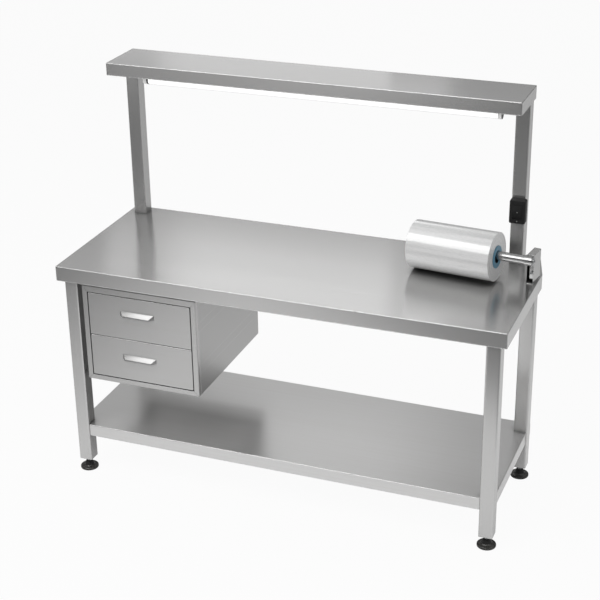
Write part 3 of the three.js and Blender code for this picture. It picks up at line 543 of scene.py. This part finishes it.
def woundFilm(name, setup):
    material, tree, shader = newTree(name)
    for socket, value in setup["glass"].items():
        shader.inputs[socket].default_value = value
    middle = rollPlace @ Vector((setup["middle"], 0, 0))
    placing = {"Location": middle, "Rotation": rollPlace.to_euler()}
    centred = addNode(tree, "ShaderNodeMapping", placing, vector_type="TEXTURE")
    tree.links.new(whereOn(tree), centred.inputs["Vector"])
    local = centred.outputs[0]
    streaks = noiseOn(tree, stretched(tree, local, setup["streaks"]),
                      detail=setup["streakDetail"])
    dots = noiseOn(tree, stretched(tree, local, setup["dots"]), detail=setup["dotDetail"])
    parts = split(tree, local)
    flat = addNode(tree, "ShaderNodeCombineXYZ")
    tree.links.new(parts["Y"], flat.inputs["Y"])
    tree.links.new(parts["Z"], flat.inputs["Z"])
    length = addNode(tree, "ShaderNodeVectorMath", operation="LENGTH")
    tree.links.new(flat.outputs[0], length.inputs[0])
    radius = length.outputs["Value"]
    rings = addNode(tree, "ShaderNodeTexNoise", {"Scale": 1.0, "Detail": setup["ringDetail"]},
                    noise_dimensions="1D")
    many = addNode(tree, "ShaderNodeMath", operation="MULTIPLY")
    many.inputs[1].default_value = setup["rings"]
    tree.links.new(radius, many.inputs[0])
    tree.links.new(many.outputs[0], rings.inputs["W"])
    pattern = addNode(tree, "ShaderNodeMix", data_type="FLOAT")
    onSide = rangeOf(tree, radius, 0.0, 1.0, *setup["sideFrom"])
    onEnd = rangeOf(tree, rings.outputs["Fac"], *setup["ringRange"])
    tree.links.new(onSide, pattern.inputs[0])
    tree.links.new(onEnd, pattern.inputs[2])
    tree.links.new(streaks, pattern.inputs[3])
    tone = rampOf(tree, pattern.outputs[0], setup["darkTone"], setup["lightTone"],
                  *setup["toneRange"])
    tree.links.new(tone, shader.inputs["Base Color"])
    tree.links.new(rangeOf(tree, dots, *setup["roughness"]), shader.inputs["Roughness"])
    coarse = bumpFrom(tree, pattern.outputs[0], *setup["coarseBump"])
    fine = bumpFrom(tree, dots, *setup["fineBump"])
    tree.links.new(coarse.outputs["Normal"], fine.inputs["Normal"])
    tree.links.new(fine.outputs["Normal"], shader.inputs["Normal"])
    return material


# Copies of one brushed steel, brushed the way each part runs. Their tones differ by part to match
# how bright each part looks where it stands: painted light and shade
steelAcross = brushedSteel("steelBrushedAcross", "X", 0.56, 0.21)
steelShelf = brushedSteel("steelBrushedShelf", "X", 0.65, 0.3)
steelHigh = brushedSteel("steelBrushedHigh", "X", 0.5, 0.21)
steelFront = brushedSteel("steelBrushedFront", "X", 0.5, 0.24, wear=0.12, fold=0.0012)
steelUpright = brushedSteel("steelBrushedUpright", "Z", 0.54, 0.24)
steelDeep = brushedSteel("steelBrushedDeep", "Y", 0.46, 0.3)
steelDull = brushedSteel("steelDull", "X", 0.4, 0.45)
steelPolished = brushedSteel("steelPolished", "X", 0.35, 0.36, grain=1500, anisotropy=0.2,
                             wear=0.2, crevice=0.02)
steelTurned = platedSteel("steelTurned", 0.4, 0.2)
steelZinc = platedSteel("steelZinc", 0.45, 0.4, tint=(0.97, 0.99, 1.0))
lampWhite = mouldedSkin("lampWhite", (0.84, 0.84, 0.83), 0.45)
# painted light: the caps' shell glows a little, for the lamp's light falling on them
paintedLitCapShell = mouldedSkin("paintedLitCapShell", (0.8, 0.8, 0.79), 0.45, glow=0.3)
# painted shade: the diffuser's lower edge is greyer, between the two rim heights
lampOpal = mouldedSkin("lampOpal", (0.92, 0.93, 0.92), 0.35, glow=0.95, rim=(1.5085, 1.5125))
# painted shade: a dark grey for the ring at the diffuser's left end and for the caps' outer ends
paintedShadeGrey = mouldedSkin("paintedShadeGrey", (0.16, 0.16, 0.16), 0.5, speckle=0.1)
switchBlack = mouldedSkin("switchBlack", (0.008, 0.008, 0.0083), 0.6, speckle=0.2)
dotPale = mouldedSkin("indicatorPale", (0.6, 0.61, 0.58), 0.35)
footRubber = mouldedSkin("footRubber", (0.042, 0.041, 0.038), 0.3, speckle=0.85, grain=180,
                         bump=(0.9, 0.0003))
footHub = mouldedSkin("footHub", (0.006, 0.006, 0.0058), 0.6, speckle=0.3, grain=400,
                      bump=(0.3, 0.0003))
plugBlue = mouldedSkin("plugBlue", (0.16, 0.37, 0.52), 0.4, speckle=0.08)
coreCard = mouldedSkin("coreCard", (0.42, 0.31, 0.2), 0.85, speckle=0.12, bump=(0.3, 0.0003))
filmWhite = woundFilm("woundFilm", filmSetup)

# Which finish a node of the frame gets: the first part of a name that fits
finishOfNode = {
    "worktop": steelAcross,
    "lower_shelf": steelShelf,
    "overshelf": steelHigh,
    "cabinet_carcass": steelDeep,
    "cabinet_frame": steelFront,
    "bracket": steelUpright,
    "leg_insert": steelZinc,
    "upright_anchor": steelZinc,
    "leg": steelUpright,
    "upright": steelUpright,
    "rail": steelDull,
    "drawer_box": steelDeep,
    "drawer_front": steelFront,
    "drawer_handle": steelPolished,
    "runner": steelZinc,
    "rod_holder": steelDull,
    "clamp_bolt": steelZinc,
    "roll_rod": steelTurned,
    "rod_end_bolt": steelZinc,
    "lamp_channel": lampWhite,
    "lamp_light_strip": lampWhite,
    "lamp_left_cap": lampWhite,
    "lamp_right_cap": lampWhite,
    "lamp_diffuser": lampOpal,
    "switch": switchBlack,
    "foot": footRubber,
    "film_roll": filmWhite,
    "core_plug": plugBlue,
    "film_core": coreCard,
}
for name, node in nodes.items():
    match = next(key for key in finishOfNode if key in name)
    node.data.materials.clear()
    node.data.materials.append(finishOfNode[match])
print("finishes are on the frame")

# Modelling helpers
facing = 0.9  # a face looks along an axis when this much of its normal does
squarely = 0.99  # and straight along it when this much does
sideways = 0.5  # and stands beside it when less than this does
near = 1e-4
weld = 1e-6
smoothAngle = 32
sharpAngle = 35


def selectOnly(pieces):
    bpy.ops.object.select_all(action="DESELECT")
    for piece in pieces:
        piece.select_set(True)
    bpy.context.view_layer.objects.active = pieces[0]


def editing(piece):
    selectOnly([piece])
    bpy.ops.object.mode_set(mode="EDIT")


def pickFaces(piece, test):
    bpy.ops.mesh.select_mode(type="FACE")
    bpy.ops.mesh.select_all(action="DESELECT")
    mesh = bmesh.from_edit_mesh(piece.data)
    for face in mesh.faces:
        if test(face.calc_center_median(), face.normal):
            face.select_set(True)
    bmesh.update_edit_mesh(piece.data)


def pickEdges(piece, test):
    bpy.ops.mesh.select_mode(type="EDGE")
    bpy.ops.mesh.select_all(action="DESELECT")
    mesh = bmesh.from_edit_mesh(piece.data)
    for edge in mesh.edges:
        first, second = edge.verts
        if test((first.co + second.co) / 2, (second.co - first.co).normalized()):
            edge.select_set(True)
    bmesh.update_edit_mesh(piece.data)


def pickCorners(piece, test):
    bpy.ops.mesh.select_mode(type="VERT")
    bpy.ops.mesh.select_all(action="DESELECT")
    mesh = bmesh.from_edit_mesh(piece.data)
    for corner in mesh.verts:
        if test(corner.co):
            corner.select_set(True)
    mesh.select_flush_mode()
    bmesh.update_edit_mesh(piece.data)


def closeMesh(piece):
    bpy.ops.mesh.select_mode(type="VERT")
    bpy.ops.mesh.select_all(action="SELECT")
    bpy.ops.mesh.remove_doubles(threshold=weld)
    bpy.ops.mesh.normals_make_consistent(inside=False)
    bpy.ops.object.mode_set(mode="OBJECT")


def fixed(piece):
    bpy.ops.object.transform_apply(location=True, rotation=True, scale=True)
    return piece


def angleOf(place):
    return math.degrees(math.atan2(place.y, place.x)) % 360


# A piece turned about Z: one ring for each (radius, height), closed on itself where it has a bore
def turnPiece(name, profile, sides, bored=False):
    radius, height = profile[0]
    bpy.ops.mesh.primitive_circle_add(vertices=sides, radius=radius, location=(0, 0, height),
                                      fill_type="NOTHING" if bored else "NGON")
    piece = fixed(bpy.context.active_object)
    piece.name = name
    editing(piece)
    bpy.ops.mesh.select_all(action="SELECT")
    for newRadius, newHeight in profile[1:] + ([profile[0]] if bored else []):
        rise = {"value": (0, 0, newHeight - height)}
        bpy.ops.mesh.extrude_region_move(TRANSFORM_OT_translate=rise)
        share = newRadius / radius
        bpy.ops.transform.resize(value=(share, share, 1), center_override=(0, 0, newHeight))
        radius, height = newRadius, newHeight
    closeMesh(piece)
    return piece


def blockPiece(name, low, high):
    middle = [(a + b) / 2 for a, b in zip(low, high)]
    size = [b - a for a, b in zip(low, high)]
    bpy.ops.mesh.primitive_cube_add(size=1, location=middle, scale=size)
    piece = fixed(bpy.context.active_object)
    piece.name = name
    return piece


def soften(piece, width, segments=3, angle=sharpAngle):
    editing(piece)
    bpy.ops.mesh.select_all(action="DESELECT")
    bpy.ops.mesh.edges_select_sharp(sharpness=math.radians(angle))
    bpy.ops.mesh.bevel(offset=width, segments=segments)
    closeMesh(piece)


def placed(piece, matrix):
    piece.matrix_world = matrix
    selectOnly([piece])
    return fixed(piece)


def copied(piece, name, matrix):
    twin = piece.copy()
    twin.data = piece.data.copy()
    twin.name = name
    bpy.context.scene.collection.objects.link(twin)
    return placed(twin, matrix)


def joined(name, pieces):
    selectOnly(pieces)
    bpy.ops.object.join()
    pieces[0].name = name
    return pieces[0]


def finished(piece, *materials):
    for material in materials:
        piece.data.materials.append(material)
    return piece


def giveFaces(piece, index, test):
    for face in piece.data.polygons:
        if test(face.center, face.normal):
            face.material_index = index


def dressed(piece, body, replaced=()):
    selectOnly([piece])
    bpy.ops.object.shade_smooth_by_angle(angle=math.radians(smoothAngle))
    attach(piece, body)
    if replaced:
        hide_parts(*replaced)
    piece.select_set(False)


# Levelling feet: a domed rubber pad with a hub and a threaded steel stud
footSetup = {
    "profile": [
        (0.0348, 0.0), (0.0362, 0.0006), (0.037, 0.002), (0.037, 0.0068), (0.0367, 0.0082),
        (0.0358, 0.0095), (0.0342, 0.0108), (0.0325, 0.0115), (0.0308, 0.0114),
        (0.0294, 0.0106), (0.0276, 0.0108), (0.024, 0.0124), (0.0206, 0.0148),
        (0.0192, 0.0166), (0.0186, 0.0195), (0.0138, 0.0298), (0.0128, 0.0308),
        (0.0116, 0.031), (0.0072, 0.031),
    ],
    "hub": (0.02, 0.0165),  # within this radius and above this height
    "stud": (0.0075, 0.0311),
    "studRadius": 0.007,
    "studTop": 0.098,
    "threadStart": 0.0312,
    "threadDepth": 0.0007,
    "threadPitch": 0.002,
    "threadTurns": 13,
    "sides": 64,
}


def makeFeet(setup):
    profile = list(setup["profile"])
    crest, root = setup["studRadius"], setup["studRadius"] - setup["threadDepth"]
    height = setup["threadStart"]
    for _ in range(setup["threadTurns"]):
        profile += [(root, height), (crest, height + setup["threadPitch"] / 2)]
        height += setup["threadPitch"]
    profile += [(root, height), (root, setup["studTop"])]
    pattern = turnPiece("footPattern", profile, setup["sides"])
    finished(pattern, footRubber, steelZinc, footHub)
    for index, (within, above) in ((2, setup["hub"]), (1, setup["stud"])):
        giveFaces(pattern, index, lambda place, normal:
                  place.z > above and place.xy.length < within)
    for place in ("front_left", "front_right", "rear_left", "rear_right"):
        low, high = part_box(place + "_foot")
        middle = ((low[0] + high[0]) / 2, (low[1] + high[1]) / 2, 0)
        foot = copied(pattern, "levelling_" + place, Matrix.Translation(middle))
        dressed(foot, place + "_foot", [place + "_foot"])
    bpy.data.objects.remove(pattern)


makeFeet(footSetup)
print("feet are made")


# Film roll: wound film with stepped layers at its ends and a loose end that stands up a little.
# Its ends, left and right, are distances along the rod
rollSetup = {
    "left": -0.4505,
    "right": -0.1175,
    "radius": 0.094,
    "bore": 0.0438,
    "edge": 0.0006,
    "layers": [
        (0.0925, 0.0004), (0.088, 0.0), (0.0875, 0.0009), (0.081, 0.0006), (0.0805, 0.0),
        (0.0725, 0.0002), (0.072, 0.001), (0.0635, 0.0008), (0.063, 0.0), (0.056, 0.0003),
        (0.0555, 0.0011), (0.0492, 0.0009), (0.0488, 0.0),
    ],
    "looseEnd": (200, 262),
    "looseFrom": 0.09,
    "looseRise": 0.0005,
    "sides": 180,
}


def makeRoll(setup):
    left, right, edge = setup["left"], setup["right"], setup["edge"]
    side = setup["radius"] - setup["looseRise"]
    profile = [(setup["bore"], left)]
    profile += [(radius, left + depth) for radius, depth in reversed(setup["layers"])]
    profile += [(setup["radius"] - edge, left), (side, left + edge)]
    profile += [(side, right - edge), (setup["radius"] - edge, right)]
    profile += [(radius, right - depth) for radius, depth in setup["layers"]]
    profile += [(setup["bore"], right)]
    roll = turnPiece("wound_film", profile, setup["sides"], bored=True)
    start, end = setup["looseEnd"]
    editing(roll)
    pickFaces(roll, lambda place, normal: place.xy.length > setup["looseFrom"]
              and abs(normal.z) < sideways and start < angleOf(place) < end)
    rise = {"value": setup["looseRise"]}
    bpy.ops.mesh.extrude_region_shrink_fatten(TRANSFORM_OT_shrink_fatten=rise)
    closeMesh(roll)
    placed(finished(roll, filmWhite), rollPlace @ alongRod)
    dressed(roll, "film_roll", ["film_roll"])


makeRoll(rollSetup)

# Core plugs: a ribbed ring that sits in the core, with notches round its bore
plugSetup = {
    "profile": [
        (0.0238, -0.036), (0.0369, -0.036), (0.0377, -0.0352), (0.0377, 0.0003),
        (0.0433, 0.0003), (0.0435, 0.0006), (0.0435, 0.0025), (0.043, 0.0031),
        (0.0421, 0.0033), (0.0398, 0.0033), (0.0394, 0.0028), (0.0366, 0.0028),
        (0.0362, 0.0033), (0.0318, 0.0033), (0.0312, 0.0028), (0.0248, 0.0028),
        (0.0238, 0.0022),
    ],
    "boreWithin": 0.0243,
    "notches": 10,
    "notchShare": 0.45,
    "notchDepth": 0.0026,
    "boreShadeWithin": 0.0268,
    "sides": 120,
}


def makePlugs(setup):
    pattern = turnPiece("plugPattern", setup["profile"], setup["sides"], bored=True)
    step = 360 / setup["notches"]
    editing(pattern)
    pickFaces(pattern, lambda place, normal: place.xy.length < setup["boreWithin"]
              and abs(normal.z) < facing and angleOf(place) % step < step * setup["notchShare"])
    sink = {"value": -setup["notchDepth"]}
    bpy.ops.mesh.extrude_region_shrink_fatten(TRANSFORM_OT_shrink_fatten=sink)
    closeMesh(pattern)
    finished(pattern, plugBlue, switchBlack)
    # painted shade: the walls of the bore and its notches get the black finish
    giveFaces(pattern, 1, lambda place, normal: place.xy.length < setup["boreShadeWithin"]
              and abs(normal.z) < sideways)
    for side, turn in (("right", 0), ("left", 180)):
        end = rollPlace @ Matrix.Translation((rollSetup[side], 0, 0))
        plug = copied(pattern, side + "_plug_ring", end @ turnedBy(turn, "Z") @ alongRod)
        dressed(plug, "film_roll", [side + "_core_plug"])
    bpy.data.objects.remove(pattern)


makePlugs(plugSetup)

# Rod: a polished tube with rounded ends and a groove, and the bolt in its right end
rodSetup = {
    "left": -0.462,
    "right": 0.0265,
    "radius": 0.0173,
    "bore": 0.0148,
    "edge": 0.0008,
    "groove": (0.0095, 0.0115),
    "grooveDepth": 0.0004,
    "sides": 96,
}
boltSetup = {
    "clearance": 0.0003,
    "spigot": 0.026,
    "radius": 0.009,
    "height": 0.0045,
    "domeShares": [(1, 0.45), (0.93, 0.75), (0.75, 0.94), (0.5, 1)],
    "recess": 0.0035,
    "recessTaper": 0.96,
    "recessFloorShare": 0.35,
    "sides": 48,
}


def makeRod(setup):
    left, right, radius, bore = setup["left"], setup["right"], setup["radius"], setup["bore"]
    edge, step = setup["edge"], setup["grooveDepth"]
    start, end = [left + place for place in setup["groove"]]
    profile = [
        (bore, left), (radius - edge, left), (radius, left + edge),
        (radius, start), (radius - step, start + step), (radius - step, end - step), (radius, end),
        (radius, right - edge), (radius - edge, right), (bore, right),
    ]
    rod = turnPiece("polished_rod", profile, setup["sides"], bored=True)
    placed(finished(rod, steelTurned), rodPlace @ alongRod)
    dressed(rod, "table", ["roll_rod"])


def makeRodBolt(setup):
    stem = rodSetup["bore"] - setup["clearance"]
    head = rodSetup["right"] + setup["clearance"]
    wide, tall, recess = setup["radius"], setup["height"], setup["recess"]
    profile = [(stem, rodSetup["right"] - setup["spigot"]), (stem, head), (wide, head)]
    profile += [(wide * out, head + tall * up) for out, up in setup["domeShares"]]
    profile += [(recess, head + tall)]
    profile += [(recess * setup["recessTaper"], head + tall * setup["recessFloorShare"])]
    bolt = turnPiece("rod_bolt", profile, setup["sides"])
    placed(finished(bolt, steelZinc), rodPlace @ alongRod)
    dressed(bolt, "table", ["rod_end_bolt"])


makeRod(rodSetup)
makeRodBolt(boltSetup)

# Rod holder: a collar with two bands round the rod, its neck, its plate and the clamp bolt's boss
collarSetup = {
    "left": -0.005,
    "right": 0.024,
    "radius": 0.0206,
    "bore": 0.0176,
    "edge": 0.001,
    "band": 0.006,
    "bandStep": (0.0007, 0.0008),
    "sides": 80,
    "plate": ((-0.0053, -0.028, 0.016), (0.0122, -0.023, 0.106)),
    "plateEdge": 0.0008,
    "neck": ((-0.00255, -0.0806, 0.0915), (0.00945, -0.023, 0.106)),
    "neckEdge": 0.0015,
    "neckMeets": 0.93,  # share of the collar's radius at which the neck begins
    "bossMiddle": (0.00345, 0.042),
    "bossRadius": 0.008,
    "bossBore": 0.0043,
    "bossEnds": (-0.0255, 0.0362),
    "bossSides": 40,
}


def makeRodHolder(setup):
    left, right, radius, bore = setup["left"], setup["right"], setup["radius"], setup["bore"]
    edge, band = setup["edge"], setup["band"]
    step, slope = setup["bandStep"]
    collar = turnPiece("rod_carrier", [
        (bore, left), (radius - edge, left), (radius, left + edge), (radius, left + band),
        (radius - step, left + band + slope), (radius - step, right - band - slope),
        (radius, right - band), (radius, right - edge), (radius - edge, right), (bore, right),
    ], setup["sides"], bored=True)
    placed(collar, rodPlace @ alongRod)
    plate = blockPiece("carrierPlate", *setup["plate"])
    soften(plate, setup["plateEdge"])
    placed(plate, holderPlace)
    low, high = setup["neck"]
    neckFront = -holderSetup["rodForward"] + radius * setup["neckMeets"]
    neck = blockPiece("carrierNeck", (low[0], neckFront, low[2]), high)
    soften(neck, setup["neckEdge"])
    placed(neck, holderPlace)
    across, height = setup["bossMiddle"]
    start, end = setup["bossEnds"]
    inner, outer = setup["bossBore"], setup["bossRadius"]
    boss = turnPiece("carrierBoss", [(inner, start), (outer, start), (outer, end), (inner, end)],
                     setup["bossSides"], bored=True)
    placed(boss, holderPlace @ Matrix.Translation((across, 0, height)) @ turnedBy(-90, "X"))
    carrier = finished(joined("rod_carrier", [collar, plate, neck, boss]), steelTurned)
    dressed(carrier, "table", ["rod_holder"])


makeRodHolder(collarSetup)
print("roll, rod and carrier are made")

# Lamp: an opal diffuser with a half-round bottom, a ring at its left end, and two screwed caps.
# The ring and the caps' outer ends are painted dark as painted shade, the caps glow a little as
# painted light, and the diffuser's lower edge is greyer as painted shade
lampSetup = {
    "middle": 0.233,
    "left": -0.764,
    "right": 0.711,
    "top": 1.5539,
    "bottom": 1.5059,
    "width": 0.036,
    "wall": 0.002,
    "overrun": 0.01,
    "sides": 64,
    "sealWidth": 0.008,
    "sealRise": 0.0008,
    "sealEdge": 0.0006,
    "sealSteps": 2,
    "capLength": 0.016,
    "capGap": 0.0003,
    "capTop": 1.6102,
    "capWidth": 0.038,
    "capDrop": 0.001,
    "capEdge": 0.002,
    "screwProfile": [
        (0.0032, 0), (0.0032, 0.0009), (0.0026, 0.0015), (0.0009, 0.0017), (0.0008, 0.0009),
    ],
    "screwRises": (0.018, 0.078),
    "screwSink": 0.0014,
    "screwSides": 20,
}


def troughPiece(name, width, top, bottom, left, right):
    radius = width / 2
    bpy.ops.mesh.primitive_cylinder_add(
        vertices=lampSetup["sides"],
        radius=radius,
        depth=right - left,
        location=((left + right) / 2, lampSetup["middle"], bottom + radius),
        rotation=(0, math.radians(90), 0),
    )
    piece = fixed(bpy.context.active_object)
    piece.name = name
    editing(piece)
    pickCorners(piece, lambda corner: corner.z > bottom + radius + near)
    bpy.ops.transform.resize(value=(1, 1, 0), center_override=(0, 0, top))
    closeMesh(piece)
    return piece


def makeDiffuser(setup, left, right):
    top, bottom, wall, overrun = setup["top"], setup["bottom"], setup["wall"], setup["overrun"]
    diffuser = troughPiece("opal_diffuser", setup["width"], top, bottom, left, right)
    hollow = troughPiece("hollow", setup["width"] - 2 * wall, top - wall, bottom + wall,
                         left - overrun, right + overrun)
    cut = diffuser.modifiers.new("hollow", "BOOLEAN")
    cut.operation = "DIFFERENCE"
    cut.object = hollow
    selectOnly([diffuser])
    bpy.ops.object.modifier_apply(modifier="hollow")
    bpy.data.objects.remove(hollow)
    dressed(finished(diffuser, lampOpal), "table", ["lamp_diffuser"])


# A ring at the diffuser's left end, coloured dark as painted shade
def makeSeal(setup, left):
    rise = setup["sealRise"]
    seal = troughPiece("left_seal_ring", setup["width"] + 2 * rise, setup["top"],
                       setup["bottom"] - rise, left, left + setup["sealWidth"])
    soften(seal, setup["sealEdge"], setup["sealSteps"])
    dressed(finished(seal, paintedShadeGrey), "table")


def makeCap(setup, side, left, right, way):
    cap = troughPiece(side + "_cap_shell", setup["capWidth"], setup["capTop"],
                      setup["bottom"] - setup["capDrop"], left, right)
    soften(cap, setup["capEdge"])
    finished(cap, paintedLitCapShell, paintedShadeGrey)
    # painted shade: the cap's outer end face gets the dark grey
    giveFaces(cap, 1, lambda place, normal: normal.x * way > sideways)
    outer = (left if way < 0 else right) - way * setup["screwSink"]
    screws = []
    for rise in setup["screwRises"]:
        screw = turnPiece("capScrew", setup["screwProfile"], setup["screwSides"])
        place = Matrix.Translation((outer, setup["middle"], setup["bottom"] + rise))
        screws.append(placed(finished(screw, steelZinc), place @ turnedBy(90 * way, "Y")))
    cap = joined(side + "_cap_shell", [cap] + screws)
    dressed(cap, "table", ["lamp_" + side + "_cap"])


def makeLamp(setup):
    left, right = setup["left"] + setup["capLength"], setup["right"] - setup["capLength"]
    makeDiffuser(setup, left, right)
    makeSeal(setup, left)
    makeCap(setup, "left", setup["left"], left - setup["capGap"], -1)
    makeCap(setup, "right", right + setup["capGap"], setup["right"], 1)


makeLamp(lampSetup)
print("lamp is made")

# Switch: a moulded box on the upright with a pocket for its rocker, and a screw below it
switchSetup = {
    "low": (0.75, 0.2427, 1.094),
    "high": (0.812, 0.2717, 1.188),
    "corner": 0.006,
    "cornerSteps": 6,
    "edge": 0.0025,
    "edgeSteps": 4,
    "rim": 0.004,
    "pocket": (0.0348, 0.0576, 0.014),
    "screwHeight": 1.104,
    "screwDepth": 0.0008,
    "dotRadius": 0.0018,
    "dotTopShare": 0.6,
    "dotRise": (0.0002, 0.0005),
    "dotSides": 20,
}
rockerSetup = {
    "size": (0.034, 0.056, 0.008),
    "pivot": (0.781, 0.2457, 1.141),
    "rise": 0.003,
    "tilt": 5.0,
    "edge": 0.0007,
    "edgeAngle": 60,
    "lensDepth": 0.001,
    "lensRise": (0.0001, 0.0004),
}


# A pale dot that stands in a face at the given height, and a little above it
def dotPiece(name, height, depth, rise):
    radius, top = switchSetup["dotRadius"], switchSetup["dotTopShare"]
    edge, crown = [height + part for part in rise]
    profile = [(radius, height - depth), (radius, edge), (radius * top, crown)]
    return finished(turnPiece(name, profile, switchSetup["dotSides"]), dotPale)


def makeSwitchBox(setup):
    low, high = setup["low"], setup["high"]
    middleX, middleZ = (low[0] + high[0]) / 2, (low[2] + high[2]) / 2
    face = low[1]
    box = blockPiece("switch_box", low, high)
    editing(box)
    pickEdges(box, lambda middle, way: abs(way.y) > facing)
    bpy.ops.mesh.bevel(offset=setup["corner"], segments=setup["cornerSteps"])
    pickFaces(box, lambda middle, normal: normal.y < -facing)
    bpy.ops.mesh.region_to_loop()
    bpy.ops.mesh.bevel(offset=setup["edge"], segments=setup["edgeSteps"])
    pickFaces(box, lambda middle, normal:
              normal.y < -squarely and abs(middle.x - middleX) < near)
    bpy.ops.mesh.inset(thickness=setup["rim"])
    width, height, depth = setup["pocket"]
    taken = 2 * (setup["edge"] + setup["rim"])
    share = (width / (high[0] - low[0] - taken), 1, height / (high[2] - low[2] - taken))
    bpy.ops.transform.resize(value=share, center_override=(middleX, face, middleZ))
    bpy.ops.mesh.extrude_region_move(TRANSFORM_OT_translate={"value": (0, depth, 0)})
    closeMesh(box)
    screw = dotPiece("switchScrew", 0, setup["screwDepth"], setup["dotRise"])
    place = Matrix.Translation((middleX, face, setup["screwHeight"]))
    placed(screw, place @ turnedBy(90, "X"))
    box = joined("switch_box", [finished(box, switchBlack), screw])
    dressed(box, "table", ["switch_housing"])


def makeRocker(setup):
    width, height, thick = setup["size"]
    drop = height / 2 * math.tan(math.radians(setup["tilt"]))
    crown = setup["rise"] + drop
    rocker = blockPiece("switch_key", (-width / 2, crown - thick, -height / 2),
                        (width / 2, crown, height / 2))
    editing(rocker)
    bpy.ops.mesh.select_all(action="SELECT")
    bpy.ops.mesh.bisect(plane_co=(0, 0, 0), plane_no=(0, 0, 1))
    pickEdges(rocker, lambda middle, way:
              middle.y > crown - near and abs(middle.z) > height / 2 - near)
    bpy.ops.transform.translate(value=(0, -drop, 0))
    closeMesh(rocker)
    soften(rocker, setup["edge"], angle=setup["edgeAngle"])
    lens = dotPiece("rockerLens", crown, setup["lensDepth"], setup["lensRise"])
    placed(lens, turnedBy(-90, "X"))
    rocker = joined("switch_key", [finished(rocker, switchBlack), lens])
    pivot = Matrix.Translation(setup["pivot"])
    placed(rocker, pivot @ turnedBy(setup["tilt"], "X") @ turnedBy(180, "Z"))
    dressed(rocker, "switch_rocker", ["switch_rocker"])


makeSwitchBox(switchSetup)
makeRocker(rockerSetup)
print("switch is made")

# Hood handles: bent sheet, narrower at the lip, open below
handleSetup = {
    "root": 0.146,
    "lip": 0.114,
    "reach": 0.018,
    "height": 0.019,
    "lipHeight": 0.005,
    "gauge": 0.0015,
    "fold": 0.0016,
    "foldSteps": 3,
}


def makeHandles(setup):
    half = setup["root"] / 2
    hood = blockPiece("handlePattern", (-half, -setup["reach"], 0), (half, 0, setup["height"]))
    editing(hood)
    pickCorners(hood, lambda corner: corner.y < -near)
    bpy.ops.transform.resize(value=(setup["lip"] / setup["root"], 1, 1),
                             center_override=(0, 0, 0))
    pickCorners(hood, lambda corner: corner.y < -near and corner.z > near)
    bpy.ops.transform.translate(value=(0, 0, setup["lipHeight"] - setup["height"]))
    pickFaces(hood, lambda middle, normal: normal.z < -facing or normal.y > facing)
    bpy.ops.mesh.delete(type="FACE")
    pickEdges(hood, lambda middle, way:
              middle.y < -near and middle.z > near and abs(way.z) < facing)
    bpy.ops.mesh.bevel(offset=setup["fold"], segments=setup["foldSteps"])
    bpy.ops.object.mode_set(mode="OBJECT")
    wall = hood.modifiers.new("wall", "SOLIDIFY")
    wall.thickness = setup["gauge"]
    wall.offset = -1
    bpy.ops.object.modifier_apply(modifier="wall")
    finished(hood, steelPolished)
    for drawer in ("upper", "lower"):
        low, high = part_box(drawer + "_drawer_handle")
        place = Matrix.Translation(((low[0] + high[0]) / 2, high[1], low[2]))
        handle = copied(hood, drawer + "_hood", place)
        dressed(handle, drawer + "_drawer", [drawer + "_drawer_handle"])
    bpy.data.objects.remove(hood)


makeHandles(handleSetup)
print("handles are made")
